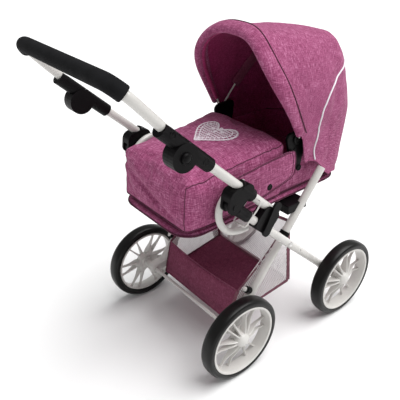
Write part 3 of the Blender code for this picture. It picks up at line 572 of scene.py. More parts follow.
def legs(mark, sign):
    steps = [0.012 + 0.0103 * i for i in range(38)]
    path = [leg_point(s, 0, sign * front_leg_x(s)) for s in steps]
    path.append(leg_point(0.3985, 0, sign * HANDLE_X))
    front = Shape().tube(path, TUBE_R, 32, 0.0008)
    for s, height in ((0.352, 0.0008), (0.157, 0.0007)):
        place = leg_point(s, 0, sign * (front_leg_x(s) + TUBE_R - 0.0001))
        rivet(front, place, (sign, 0, 0), 0.0022, height)
    front.make("leg_front_" + mark, WHITE_PAINT, "front_frame", "white_paint", ["front_leg_" + mark])
    path = [rear_point(-0.170 + 0.0322 * i, 0, sign * REAR_LEG_X) for i in range(11)]
    rear = Shape().tube(path, TUBE_R, 32, 0.0008)
    rivet(rear, rear_point(0.030, 0, sign * (REAR_LEG_X + TUBE_R - 0.0001)), (sign, 0, 0), 0.0022, 0.0007)
    rear.make("leg_rear_" + mark, WHITE_PAINT, "rear_frame", "white_paint", ["rear_leg_" + mark])
    # Pressed slots in the tubes, drawn as near-black strips: painted shade inside the slots
    slots = Shape()
    for centre, along in ((leg_point(0.165, 0.0012, 0), leg_point(1, 0.6, 0) - leg_point(0, 0, 0)),
                          (leg_point(0.368, 0.0020, 0), leg_point(0.5, 1, 0) - leg_point(0, 0, 0))):
        along = along.normalized() * 0.0022
        x = sign * ((FRONT_LEG_X if centre.z < 0.3 else HANDLE_X) + TUBE_R - 0.00035)
        slots.tube([Vector((x, 0, 0)) + centre - along, Vector((x, 0, 0)) + centre + along], 0.00055, 8)
    slots.make("leg_slots_" + mark, SLOT_SHADE, "front_frame")
    bolt = Shape()
    head = FRONT_LEG_X + TUBE_R
    bolt.lathe([(head - 0.0006, 0.0052), (head + 0.0006, 0.0052), (head + 0.0012, 0.0046),
                (head + 0.0014, 0.0028), (head + 0.0008, 0.0024), (head + 0.0006, 0.0)],
               (0, CROSS.y, CROSS.z), sign, 32)
    bolt.lathe([(0.1085, 0.0), (0.1085, 0.0026), (0.1090, 0.0028), (head, 0.0028), (head, 0.0)],
               (0, CROSS.y, CROSS.z), sign, 24)
    bolt.make("crossing_bolt_" + mark, STEEL, "rear_frame", "steel", ["cross_bolt_" + mark])


both(legs)


def holders(mark, sign):
    """White sleeves that carry the axles on the leg ends."""
    x = sign * FRONT_LEG_X
    front = Shape().tube([leg_point(0.0035, 0, x), leg_point(0.0300, 0, x), leg_point(0.0602, 0, x)],
                         [0.0094, 0.0093, 0.0090], 32, 0.0012)
    hub = (0, FRONT_HUB.y, FRONT_HUB.z)
    front.lathe([(0.1240, 0.0036), (0.1240, 0.0092), (0.1252, 0.0104), (0.1392, 0.0104), (0.1404, 0.0092),
                 (0.1404, 0.0036)], hub, sign, 40)
    front.make("axle_sleeve_front_" + mark, WHITE_PLASTIC, "front_frame", "white_plastic",
               ["axle_holder_front_" + mark])
    x = sign * REAR_LEG_X
    rear = Shape().tube([rear_point(-0.1838, 0, x), rear_point(-0.150, 0, x), rear_point(-0.1202, 0, x)],
                        [0.0101, 0.0100, 0.0098], 32, 0.0014)
    low = rear_point(-0.172, 0, 0)
    rear.pill([(low.y, low.z, 0.0086), (REAR_HUB.y, REAR_HUB.z, 0.0100)],
              sign * (REAR_LEG_X - 0.0094), sign * (REAR_LEG_X + 0.0094), 0.0014)
    hub = (0, REAR_HUB.y, REAR_HUB.z)
    rear.lathe([(REAR_LEG_X, 0.0070), (0.1395, 0.0070), (0.1409, 0.0058), (0.1409, 0.0036)], hub, sign, 40)
    rear.make("axle_sleeve_rear_" + mark, WHITE_PLASTIC, "rear_frame", "white_plastic",
              ["axle_holder_rear_" + mark])


both(holders)


# ---- handle --------------------------------------------------------------------------------
def handle_line():
    """Centre line of the U handle from the R adjuster round to the L one."""
    def at(s, x):
        return leg_point(s, HANDLE_T + BAR_RISE * (s - TILT_S), x)

    straight = [at(mix(TILT_S + 0.0230, BAR_S - BEND_R, i / 8), HANDLE_X) for i in range(9)]
    bend = []
    for i in range(1, 17):
        k = math.pi / 2 * i / 16
        bend.append(at(BAR_S - BEND_R + BEND_R * math.sin(k), HANDLE_X - BEND_R + BEND_R * math.cos(k)))
    half = straight + bend
    across = [at(BAR_S, mix(HANDLE_X - BEND_R, 0, i / 6)) for i in range(1, 7)]
    left = [Vector((-p.x, p.y, p.z)) for p in reversed(half + across[:-1])]
    return half + across + left


U_LINE = handle_line()
GRIP_SKIP = 13  # points of bare tube at each end of the line
GRIP_R = 0.0120
u_tube = Shape().tube(U_LINE, TUBE_R, 32, 0.0008)
u_tube.make("handle_u_tube", WHITE_PAINT, "handle_upper", "white_paint", ["handle_bar"])
grip = Shape().tube(U_LINE[GRIP_SKIP:-GRIP_SKIP], GRIP_R, 36, 0.0030)
grip.make("handle_foam_grip", FOAM, "handle_upper", "black_foam", ["handle_grip"])


def handle_side(mark, sign):
    """Side tube, adjuster, hubs, catch, spring, bracket and clip of one side."""
    x = sign * HANDLE_X
    tube = Shape().tube([leg_point(mix(0.3040, TILT_S - 0.0230, i / 10), HANDLE_T, x) for i in range(11)],
                        TUBE_R, 32, 0.0012)
    tube.make("handle_side_tube_" + mark, WHITE_PAINT, "handle_lower", "white_paint", ["handle_tube_" + mark])
    for node in ("adjuster_lower_", "adjuster_upper_", "fold_hub_", "leg_head_", "lock_block_"):
        dress(node + mark, BLACK_PLASTIC)
    button = Shape().lathe([(0.1456, 0.0), (0.1456, 0.0084), (0.1568, 0.0084), (0.1580, 0.0078),
                            (0.1586, 0.0068), (0.1582, 0.0058), (0.1588, 0.0050), (0.1590, 0.0)],
                           (0, TILT.y, TILT.z), sign, 40)
    button.make("adjuster_cap_" + mark, BLACK_PLASTIC, "button_" + mark, "black_plastic",
                ["adjuster_button_" + mark])
    # Screw recesses on the sleeve halves
    for s, body in ((0.5200, "handle_lower"), (0.5980, "handle_upper")):
        rise = BAR_RISE * max(s - TILT_S, 0)
        place = leg_point(s, HANDLE_T + rise, 0)
        face = HANDLE_X + 0.0113
        ring = Shape().lathe([(face - 0.0012, 0.0022), (face - 0.0010, 0.0034), (face + 0.0002, 0.0046),
                              (face + 0.0001, 0.0056), (face - 0.0012, 0.0060)],
                             (0, place.y, place.z), sign, 32)
        ring.make(f"adjuster_screw_well_{body}_{mark}", BLACK_PLASTIC, body)
        screw = Shape().lathe([(face - 0.0030, 0.0), (face - 0.0030, 0.0026), (face - 0.0008, 0.0026),
                               (face - 0.0004, 0.0018), (face - 0.0004, 0.0)],
                              (0, place.y, place.z), sign, 24)
        screw.make(f"adjuster_screw_{body}_{mark}", BLACK_PLASTIC, body)
    # Wire catch under the leg head
    x_in, x_out = HANDLE_X - 0.0125, HANDLE_X + 0.0150
    corners = [(0.3730, HANDLE_T, x_in + 0.0040), (0.3730, HANDLE_T, x_in), (0.3690, 0.0180, x_in),
               (0.3720, -0.0180, x_in), (0.3720, -0.0180, x_out), (0.3690, 0.0180, x_out),
               (0.3730, HANDLE_T, x_out), (0.3730, HANDLE_T, x_out - 0.0062)]
    pts = [leg_point(s, t, sign * px) for s, t, px in corners]
    path = [pts[0]]
    for a, b, c in zip(pts, pts[1:], pts[2:]):
        cut = min(0.0045, (b - a).length / 2.2, (c - b).length / 2.2)
        start, end = b + (a - b).normalized() * cut, b + (c - b).normalized() * cut
        for i in range(7):
            u = i / 6
            path.append(start * (1 - u) ** 2 + b * 2 * u * (1 - u) + end * u ** 2)
    path.append(pts[-1])
    Shape().tube(path, 0.0013, 14, 0.0004).make(
        "catch_loop_" + mark, WHITE_PAINT, "catch_" + mark, "white_paint", ["catch_wire_" + mark])
    # C spring
    c_line = [(0.3930, 0.0440), (0.4075, 0.0280), (0.4140, 0.0070), (0.4110, -0.0130), (0.3980, -0.0280),
              (0.3800, -0.0360), (0.3600, -0.0365), (0.3400, -0.0280), (0.3230, -0.0140)]
    path = smooth_path([leg_point(s, t, sign * 0.1240) for s, t in c_line])
    Shape().tube(path, 0.0060, 28, 0.0030).make(
        "c_spring_tube_" + mark, WHITE_PAINT, "front_frame", "white_paint", ["c_spring_" + mark])
    dress("cot_bracket_" + mark, BLACK_PLASTIC, 0.0008)
    dress("basket_clip_" + mark, BLACK_PLASTIC, 0.0004)
    clip = rear_point(-0.1120, -0.0235, sign * REAR_LEG_X)
    cap = Shape()
    rivet(cap, clip, rear_point(0, -1, 0) - rear_point(0, 0, 0), 0.0046, 0.0014)
    cap.make("basket_clip_cap_" + mark, WHITE_PLASTIC, "rear_frame")


both(handle_side)


# ---- hood ----------------------------------------------------------------------------------
# Tilts are in degrees towards the handle from upright
FRONT_TILT = 19.3
BACK_TILT = -118.0
REAR_BOW_TILT = -40.0
HOOD_TILTS = (-118, -105, -90, -72, -62, -54, -47, -41, -34, -25, -16, -7, 1, 8, 14, 23)
HOOD_HEIGHTS = (0.1960, 0.2000, 0.1965, 0.1935, 0.1950, 0.1990, 0.2050, 0.2060,
                0.1965, 0.1850, 0.1790, 0.1775, 0.1795, 0.1840, 0.1900, 0.1940)
HOOD_HALF_WIDTHS = (0.1100, 0.1110, 0.1110, 0.1110, 0.1112, 0.1116, 0.1120, 0.1120,
                    0.1116, 0.1112, 0.1110, 0.1112, 0.1114, 0.1118, 0.1122, 0.1130)
SIDE_SWEEP = 8.5  # degrees that the front edge's sides lean ahead of its top
ARCH_POWER = 2 / 2.8  # 1 would make each arch an ellipse
# Lower edge of the cloth from the near side round the back: theta in degrees, then x, y, z
SKIRT = ((0, 0.1090, 0.0450, 0.3600), (10, 0.1100, 0.0580, 0.3585), (20, 0.1110, 0.0730, 0.3560),
         (30, 0.1112, 0.0920, 0.3400), (38, 0.1110, 0.1080, 0.3230), (45, 0.1090, 0.1220, 0.3130),
         (56, 0.1010, 0.1520, 0.3080), (68, 0.0760, 0.1850, 0.3090), (79, 0.0410, 0.2030, 0.3110),
         (90, 0.0, 0.2080, 0.3120))
BOW_STEPS = 90
REAR_BOW_RISE = 0.0815  # how much higher the rear bow is than half its width
SKIRT_FROM = -84.0  # from this tilt on the cloth eases from the arches to the lower edge


def arch(theta, tilt, swell=0.0):
    """Point of the hood at theta round the arch leaned by tilt degrees towards the handle."""
    h = float(np.interp(tilt, HOOD_TILTS, HOOD_HEIGHTS)) + swell
    a = float(np.interp(tilt, HOOD_TILTS, HOOD_HALF_WIDTHS)) + swell
    c, s = math.cos(theta), max(math.sin(theta), 0.0)
    rise = h * s ** ARCH_POWER
    aside = 1 - max(math.sin(theta), 0.0) ** 5
    lean = math.radians(tilt + SIDE_SWEEP * aside * ease((tilt + 28) / 38))
    return Vector((a * math.copysign(abs(c) ** ARCH_POWER, c), HOOD.y - math.sin(lean) * rise,
                   HOOD.z + math.cos(lean) * rise))


def skirt(theta):
    """Point of the hood cloth's lower edge."""
    degrees = math.degrees(theta)
    mirrored = degrees > 90
    at = 180 - degrees if mirrored else degrees
    places = [row[0] for row in SKIRT]
    x, y, z = (float(np.interp(at, places, [row[i] for row in SKIRT])) for i in (1, 2, 3))
    return Vector((-x if mirrored else x, y, z))


def creases(p, u, v, depth):
    """Soft hollows and pulls in stretched cloth."""
    broad = noise.noise(Vector((p.x * 16, p.y * 16, p.z * 16)))
    pulls = noise.noise(Vector((u * 22, v * 7, 3.1)))
    fine = noise.noise(Vector((u * 60, v * 34, 7.7)))
    folds = 1 - abs(noise.noise(Vector((u * 9 + v * 5, v * 4 - u * 3, 21.3)))) * 3.2
    return depth * (0.9 * broad + 0.8 * pulls + 0.35 * fine - 1.1 * max(0.0, folds))


def hood_row(tilt, count):
    """Points of the cloth from side to side at one tilt."""
    row = []
    for i in range(count):
        theta = math.pi * i / (count - 1)
        p = arch(theta, max(tilt, BACK_TILT))
        if tilt < SKIRT_FROM:
            u = (SKIRT_FROM - tilt) / (SKIRT_FROM - BACK_TILT)
            p = p.lerp(skirt(theta), ease(u) * 0.5 + u * 0.5)
        row.append(p)
    return row


def follow_hood(ob):
    """Cloth with its placement baked into its points."""
    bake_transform(ob)


def out_of_hood(p):
    return p - Vector((0, 0.06, 0.38))


def canopy():
    """One sheet from the front rim over both bows to the lower edge, creased where it hangs."""
    columns, lines = 97, 62
    tilts = [mix(FRONT_TILT + 1.5, BACK_TILT, r / (lines - 1)) for r in range(lines)]
    rows = [hood_row(tilt, columns) for tilt in tilts]
    uvs = []
    for r, row in enumerate(rows):
        v = math.radians(mix(0, FRONT_TILT - BACK_TILT, r / (lines - 1))) * 0.19
        runs = [0.0]
        for p, after in zip(row, row[1:]):
            runs.append(runs[-1] + (after - p).length)
        uvs.append([(run - runs[columns // 2], v) for run in runs])
    moved = []
    for r, (tilt, row) in enumerate(zip(tilts, rows)):
        # hollow between the two bows, fuller over the rear bow
        hollow = 0.0016 * math.exp(-((tilt + 62) / 14) ** 2) - 0.0022 * math.exp(-((tilt - 2) / 9) ** 2)
        crease = 0.0014 + 0.0022 * ease((-tilt - 20) / 25) + 0.0010 * ease((-tilt - 80) / 30)
        new = []
        for i, p in enumerate(row):
            before, after = row[max(i - 1, 0)], row[min(i + 1, columns - 1)]
            above, below = rows[max(r - 1, 0)][i], rows[min(r + 1, lines - 1)][i]
            normal = (after - before).cross(below - above)
            if normal.length > 1e-9:
                normal.normalize()
            else:
                normal = Vector((math.copysign(1, p.x), 0, 0))
            if normal.dot(out_of_hood(p)) < 0:
                normal = -normal
            hold = ease((r / lines - 0.03) / 0.12) * ease(min(i, columns - 1 - i) / 5)
            depth = creases(p, *uvs[r][i], crease) * hold
            new.append(p + normal * (depth + hollow * math.sin(math.pi * i / (columns - 1))))
        moved.append(new)
    # rows from the back forwards, so that the cloth's outer side faces out
    sheet = Shape().grid(moved[::-1], uvs[::-1]).make("hood_canopy", [MAUVE_UV, LINING], smooth=0)
    follow_hood(sheet)
    settle(sheet, None, ["hood_rear", "hood_front"])
    thicken(sheet, 0.0016, inner_slot=1)
    subdivide(sheet)
    return sheet


CANOPY = canopy()


def surface_of(ob):
    """Search tree over a finished piece's base mesh."""
    verts = [v.co.copy() for v in ob.data.vertices]
    return BVHTree.FromPolygons(verts, [tuple(p.vertices) for p in ob.data.polygons])


def laid_on(tree, points, lift, outward):
    """Points moved onto a surface and lifted off it; outward(p) points away from the inside."""
    out = []
    shift = Vector((0, BASE_Y, 0))
    for p in points:
        place, normal, _, _ = tree.find_nearest(p + shift)
        if normal.dot(outward(p)) < 0:
            normal = -normal
        out.append(place - shift + normal * lift)
    return out


HOOD_TREE = surface_of(CANOPY)


def hood_trim(name, points, radius, material, lift):
    """Piping sewn on the canopy."""
    path = laid_on(HOOD_TREE, points, lift, out_of_hood)
    follow_hood(Shape().tube(path, radius, 10, radius * 0.5).make(name, material, smooth=0))


side_line = [(0.1110, 0.0742, 0.3570), (0.1125, 0.0730, 0.3780), (0.1130, 0.0726, 0.4000),
             (0.1130, 0.0730, 0.4250), (0.1120, 0.0775, 0.4480), (0.1085, 0.0900, 0.4690),
             (0.1030, 0.1080, 0.4870), (0.0920, 0.1340, 0.5010), (0.0760, 0.1600, 0.5110),
             (0.0500, 0.1850, 0.5200), (0.0200, 0.1960, 0.5240)]
piping_line = smooth_path(side_line + [(-x, y, z) for x, y, z in reversed(side_line)])
hood_trim("hood_reflective_piping", piping_line, 0.0015, REFLECTIVE, 0.0008)
back_line = [skirt(math.pi * i / 120) for i in range(121)]
hood_trim("hood_lower_hem", back_line, 0.0013, MAUVE, 0.0)


def hood_rim():
    """Padded roll round the front bow, thinner towards the pivots."""
    rings, groove = [], []
    count = 121
    lean = math.radians(FRONT_TILT + 3)
    forward = Vector((0, -math.cos(lean), -math.sin(lean)))
    points = [arch(math.radians(1.2 + 177.6 * i / (count - 1)), FRONT_TILT - 0.5) for i in range(count)]
    for i, p in enumerate(points):
        before, after = points[max(i - 1, 0)], points[min(i + 1, count - 1)]
        tangent = (after - before).normalized()
        out = tangent.cross(forward).normalized()
        if out.dot(p - HOOD) < 0:
            out = -out
        end = ease(min(i, count - 1 - i) / 22)
        wide = mix(0.0100, 0.0150, end)
        thick = mix(0.0045, 0.0080, end)
        pucker = (0.0005 * noise.noise(Vector((i * 0.45, 0.3, 9.1)))
                  + 0.0006 * noise.noise(Vector((i * 0.15, 4.3, 1.1))))
        ring = []
        for k in circle(22):
            c, s = math.cos(k), math.sin(k)
            across = math.copysign(abs(c) ** 0.85, c)
            up = math.copysign(abs(s) ** 0.85, s)
            swell = thick + pucker * (1 if s > 0 else 0.3)
            ring.append(p + forward * (across * wide) + out * (up * swell - 0.0016))
        rings.append(ring)
        groove.append(p - forward * (wide * 0.97) + out * 0.0021)
    # Dark tube in the groove behind the roll: painted shade of the seam
    Shape().tube(groove, 0.0012, 10, 0.0006).make("hood_front_seam", PIPING, "hood", smooth=0)
    ob = Shape().loft(rings).make("hood_padded_rim", MAUVE, "hood", "mauve_fabric", ["hood_rim"], smooth=0)
    subdivide(ob)


hood_rim()


def rear_bow_line(half_w, start):
    """Line of the rear bow from start degrees up one side to the same place on the other."""
    lean = math.radians(REAR_BOW_TILT)
    out = []
    for i in range(BOW_STEPS + 1):
        theta = math.radians(mix(start, 180 - start, ease(i / BOW_STEPS)))
        c, s = math.cos(theta), math.sin(theta)
        rise = (half_w + REAR_BOW_RISE) * abs(s) ** (2 / 3)
        out.append(Vector((half_w * math.copysign(abs(c) ** (2 / 3), c), HOOD.y - math.sin(lean) * rise,
                           HOOD.z + math.cos(lean) * rise)))
    return out


front_bow = [arch(math.radians(mix(0.3, 179.7, ease(i / BOW_STEPS))), FRONT_TILT, -0.0075)
             for i in range(BOW_STEPS + 1)]
Shape().tube(front_bow, 0.0017, 14, 0.0005).make(
    "hood_front_bow_wire", WHITE_PLASTIC, "hood", "white_plastic", ["hood_bow_front"])
Shape().tube(front_bow[7:84], 0.0045, 16, 0.0012).make("hood_front_sleeve", LINING, "hood", smooth=0)
Shape().tube(rear_bow_line(0.1040, 0.3), 0.0019, 14, 0.0005).make(
    "hood_rear_bow_wire", WHITE_PLASTIC, "hood_mid_bow", "white_plastic", ["hood_bow_middle"])
Shape().tube(rear_bow_line(0.1035, 9), 0.0110, 22, 0.0015, flat=0.18, up=(1, 0, 0)).make(
    "hood_bow_sleeve", PLUM, "hood_mid_bow", smooth=0)


def hood_bracket(mark, sign):
    """Black side bracket that carries the hood's bows."""
    plate = Shape()
    y, z = HOOD.y, HOOD.z
    plate.pill([(y - 0.014, z + 0.002, 0.0110), (y + 0.014, z + 0.004, 0.0110),
                (y - 0.004, z - 0.030, 0.0115), (y + 0.008, z - 0.052, 0.0085)],
               sign * 0.0930, sign * 0.0985, 0.0012)
    plate.pill([(y, z, 0.0105)], sign * 0.0975, sign * 0.1016, 0.0012)
    plate.pill([(y, z, 0.0045)], sign * 0.1010, sign * 0.1030, 0.0008, 24)
    plate.pill([(y - 0.004, z - 0.020, 0.0030), (y + 0.002, z - 0.040, 0.0030)],
               sign * 0.098, sign * 0.0998, 0.0006, 24)
    plate.make("hood_side_bracket_" + mark, BLACK_PLASTIC, "carrycot", "black_plastic",
               ["hood_pivot_" + mark])


both(hood_bracket)


# ---- cot -----------------------------------------------------------------------------------
def rounded_rect(half_w, y0, y1, radius, z, steps=12):
    """Level ring with round corners, with even points along its straight sides."""
    ring = []
    for cx, cy, quarter in ((half_w, y1, 0), (-half_w, y1, 1), (-half_w, y0, 2), (half_w, y0, 3)):
        ox = cx - math.copysign(radius, cx)
        oy = cy - radius if cy == y1 else cy + radius
        for i in range(steps):
            k = math.pi / 2 * (quarter + i / (steps - 1))
            ring.append(Vector((ox + radius * math.cos(k), oy + radius * math.sin(k), z)))
    dense = []
    for a, b in zip(ring, ring[1:] + ring[:1]):
        cuts = max(1, int((b - a).length / 0.012))
        dense.extend(a.lerp(b, c / cuts) for c in range(cuts))
    return dense


COT_HALF_W = 0.0915
COT_Y = (-0.2020, 0.1720)
BASE_HALF_W = 0.0965
BASE_ENDS = (-0.2195, 0.1700)
COT_CORNER = 0.040


def cot_body():
    """Lined tub, the padded roll under it and the piping of both."""
    rings = []
    for z, grow in ((0.3000, -0.0040), (0.3030, -0.0010), (0.3120, 0.0010), (0.3300, 0.0020),
                    (0.3500, 0.0018), (0.3700, 0.0008), (0.3800, 0.0), (0.3822, -0.0012)):
        rings.append(rounded_rect(COT_HALF_W + grow, COT_Y[0] - grow, COT_Y[1] + grow * 2, COT_CORNER, z))
    shape = Shape().loft(rings, caps=(True, False))
    inner = []
    for z, inset in ((0.3822, 0.0026), (0.3790, 0.0046), (0.3600, 0.0050), (0.3240, 0.0050)):
        inner.append(rounded_rect(COT_HALF_W - inset, COT_Y[0] + inset, COT_Y[1] - inset, 0.036, z))
    start = len(shape.verts)
    shape.loft(inner, caps=(False, True), slot=1)
    top = start - len(rings[0])
    for i in range(len(rings[0])):
        j = (i + 1) % len(rings[0])
        shape.face((top + i, top + j, start + j, start + i), 0)
    shape.make("cot_body", [MAUVE, LINING], "carrycot", "plum_fabric", ["cot_shell"], smooth=50)
    rings = []
    for z, inset in ((0.2886, 0.0050), (0.2893, 0.0022), (0.2912, 0.0005), (0.2940, 0.0),
                     (0.2966, 0.0006), (0.2984, 0.0024), (0.2990, 0.0060)):
        rings.append(rounded_rect(BASE_HALF_W - inset, BASE_ENDS[0] + inset, BASE_ENDS[1] - inset,
                                  COT_CORNER, z))
    base = Shape().loft(rings).make("cot_padded_base", MAUVE, "carrycot", "mauve_fabric", ["cot_base"],
                                    smooth=60)
    for name, z, half_w, y0, y1 in (("cot_base_piping", 0.2938, 0.0967, -0.2197, 0.1702),
                                    ("cot_side_piping", 0.3025, 0.0918, -0.2025, 0.1725)):
        ring = rounded_rect(half_w, y0, y1, COT_CORNER, z)
        Shape().tube(ring + ring[:2], 0.0013, 10).make(name, PIPING, "carrycot", smooth=0)


cot_body()


CLOTH_FRAMES = 20


def swell(ob, voxel, cap, pressure, hold=None):
    """Points of a closed pad after a voxel remesh and a cloth run under air pressure.

    No point moves further than cap, and the ones that hold picks stay in place.
    """
    remesh = ob.modifiers.new("Remesh", "REMESH")
    remesh.mode = "VOXEL"
    remesh.voxel_size = voxel
    graph = bpy.context.evaluated_depsgraph_get()
    mesh = bpy.data.meshes.new_from_object(ob.evaluated_get(graph))
    ob.modifiers.clear()
    ob.data = mesh
    rest = np.array([v.co for v in mesh.vertices], float)
    if hold:
        group = ob.vertex_groups.new(name="held")
        group.add([i for i, p in enumerate(rest) if hold(p)], 1.0, "REPLACE")
    mod = ob.modifiers.new("Cloth", "CLOTH")
    mod.settings.quality = 5
    mod.settings.mass = 0.2
    mod.settings.tension_stiffness = 12
    mod.settings.compression_stiffness = 12
    mod.settings.bending_stiffness = 0.4
    mod.settings.use_pressure = True
    mod.settings.uniform_pressure_force = pressure
    mod.settings.effector_weights.gravity = 0
    mod.settings.shrink_min = -0.02
    mod.collision_settings.use_collision = False
    if hold:
        mod.settings.vertex_group_mass = "held"
    scene = bpy.context.scene
    for f in range(1, CLOTH_FRAMES + 1):
        scene.frame_set(f)
    graph = bpy.context.evaluated_depsgraph_get()
    moved = np.array([v.co for v in ob.evaluated_get(graph).data.vertices], float)
    ob.modifiers.clear()
    ob.vertex_groups.clear()
    scene.frame_set(1)
    step = moved - rest
    size = np.linalg.norm(step, axis=1, keepdims=True)
    rest = rest + step * np.minimum(1, cap / np.maximum(size, 1e-9))
    return rest


def set_points(ob, points):
    ob.data.vertices.foreach_set("co", np.asarray(points, np.float32).ravel())
    ob.data.update()
    ob.data.shade_smooth()


APRON_Y = (-0.2130, 0.0020)
APRON_TOP = (0.3880, 0.4080)
APRON_FOOT = 0.3025
APRON_HALF_W = 0.0975
APRON_WIDEST = 0.0992
FOOT_Z = 0.3030
END_Y = -0.1960


def apron_height(y):
    return mix(APRON_TOP[1], APRON_TOP[0], (APRON_Y[1] - y) / (APRON_Y[1] - APRON_Y[0]))


def apron_crease(x, y, z):
    """Where a point of the filled cover goes once the cloth wrinkles."""
    y -= BASE_Y
    side = ease((abs(x) - 0.070) / 0.03)
    end = max(0.0, (-0.150 - y) / 0.06)
    depth = 0.0011 * noise.noise(Vector((x * 26, y * 22, z * 26)))
    depth += 0.0016 * noise.noise(Vector((x * 9 + 2, y * 11, z * 12))) * (0.5 + end)
    depth -= 0.0030 * side * ease(end) * abs(noise.noise(Vector((x * 60, y * 40, z * 46))))
    # gathers along the top edge of the sides
    ruffle = math.sin(y * 190 + 2 * noise.noise(Vector((x * 15, y * 15, 5))))
    gather = 0.0011 * ruffle * side * ease((z - 0.375) / 0.02) * (1 - ease((z - 0.402) / 0.01))
    # the end panel is drawn into a slanting fold
    on_end = ease((END_Y - y) / 0.010)
    across = (z - FOOT_Z) - (0.088 - x) * 0.40
    depth -= 0.0070 * math.exp(-(across / 0.0070) ** 2) * on_end * ease((0.086 - x) / 0.02)
    depth += 0.0022 * math.exp(-((across - 0.018) / 0.014) ** 2) * on_end
    outward = Vector((x, (y + 0.10) * 0.6, (z - 0.33) * 2.2)).normalized()
    push = outward * (depth + gather) * ease((z - FOOT_Z) / 0.02)
    x, z = x + push.x, max(z + push.z, APRON_FOOT)
    if y > -0.170:
        x = math.copysign(min(abs(x), APRON_WIDEST), x)
    return x, y + BASE_Y + push.y, z


def apron():
    """The padded cover over the foot of the cot: boxed sides, a crowned top, wrinkled corners."""
    rings = []
    for y, drop, pinch in ((0.0020, 0.0050, 0.0030), (0.0000, 0.0010, 0.0010), (-0.0040, 0.0, 0.0),
                           (-0.0600, 0.0, 0.0), (-0.1200, 0.0, 0.0), (-0.1700, 0.0, 0.0010),
                           (-0.1980, 0.0004, 0.0040), (-0.2060, 0.0020, 0.0070),
                           (-0.2110, 0.0070, 0.0100), (-0.2120, 0.0140, 0.0120)):
        top = apron_height(y) - drop
        half = APRON_HALF_W - pinch
        ring = []
        for share, z in ((1, APRON_FOOT), (1, 0.340), (1, top - 0.010), (0.985, top - 0.003), (0.950, top),
                         (0.60, top + 0.0070), (0.30, top + 0.0095), (0, top + 0.0100)):
            ring.append((share * half, y, z))
        ring += [(-x, y, z) for x, y, z in reversed(ring[:-1])]
        rings.append(ring)
    ob = Shape().loft(rings).make("apron_cover", MAUVE, smooth=0)
    points = swell(ob, 0.0045, 0.0045, 3.0, hold=lambda p: p[2] < 0.310)
    set_points(ob, [apron_crease(x, y, z) for x, y, z in points])
    settle(ob, "carrycot", ["apron"])
    subdivide(ob)
    return ob


APRON = apron()
APRON_TREE = surface_of(APRON)


def out_of_apron(p):
    return p - Vector((0, -0.10, 0.33))


def apron_trim(name, points, radius=0.0008):
    """Seam or piping along a line on the cover, in dark mauve that paints the shade along it."""
    path = laid_on(APRON_TREE, line(points), 0.0, out_of_apron)
    Shape().tube(path, radius, 10, radius * 0.5).make(name, SEAM_SHADE, "carrycot", smooth=0)


def line(points):
    """Points every 4 mm or so along straight runs."""
    points = [Vector(p) for p in points]
    out = []
    for a, b in zip(points, points[1:]):
        steps = max(2, int((b - a).length / 0.004))
        out.extend(a.lerp(b, i / steps) for i in range(steps))
    return out + [points[-1]]


for mark, sign in SIDES:
    x = sign * 0.0985
    corner = (x * 0.90, -0.2085, 0.3850)
    apron_trim("apron_top_seam_" + mark, [(x, -0.0020, 0.4055), (x, -0.060, 0.3995), (x, -0.130, 0.3950),
                                          (x * 0.97, -0.185, 0.3900), corner])
    apron_trim("apron_corner_seam_" + mark, [corner, (x * 0.885, -0.2110, 0.345),
                                             (x * 0.885, -0.2115, 0.3050)], 0.0007)
foot = [(0.0985, -0.002), (0.0985, -0.170), (0.0930, -0.200), (0.0860, -0.2120)]
foot += [(-x, y) for x, y in reversed(foot)]
apron_trim("apron_lower_piping", [(x, y, 0.3045) for x, y in foot], 0.0013)


def mattress():
    """Lined pad on the floor of the cot, faintly tufted."""
    rings = []
    for z, inset in ((0.3046, 0.004), (0.3060, 0.001), (0.3120, 0.0), (0.3180, 0.001), (0.3196, 0.004)):
        rings.append(rounded_rect(0.0845 - inset, -0.1960 + inset, 0.1650 - inset, 0.034, z, 8))
    ob = Shape().loft(rings).make("mattress_pad", LINING, smooth=0)
    points = swell(ob, 0.0055, 0.0015, 2.0)
    out = []
    for x, y, z in points:
        tuft = 0.0007 * math.cos(x * 150) * math.cos((y - BASE_Y) * 150)
        out.append((x, y, min(max(z + (tuft if z > 0.315 else 0), 0.3042), 0.3215)))
    set_points(ob, out)
    settle(ob, "carrycot", ["mattress"])


mattress()

# Outline of a side wing: y and z of its corners, which are then rounded
FLAP = [(-0.112, 0.3800), (-0.138, 0.3700), (-0.157, 0.3530), (-0.163, 0.3320), (-0.160, 0.3120),
        (-0.100, 0.3140), (-0.053, 0.3190), (0.000, 0.3300), (0.026, 0.3380), (0.028, 0.3700),
        (0.022, 0.3915)]


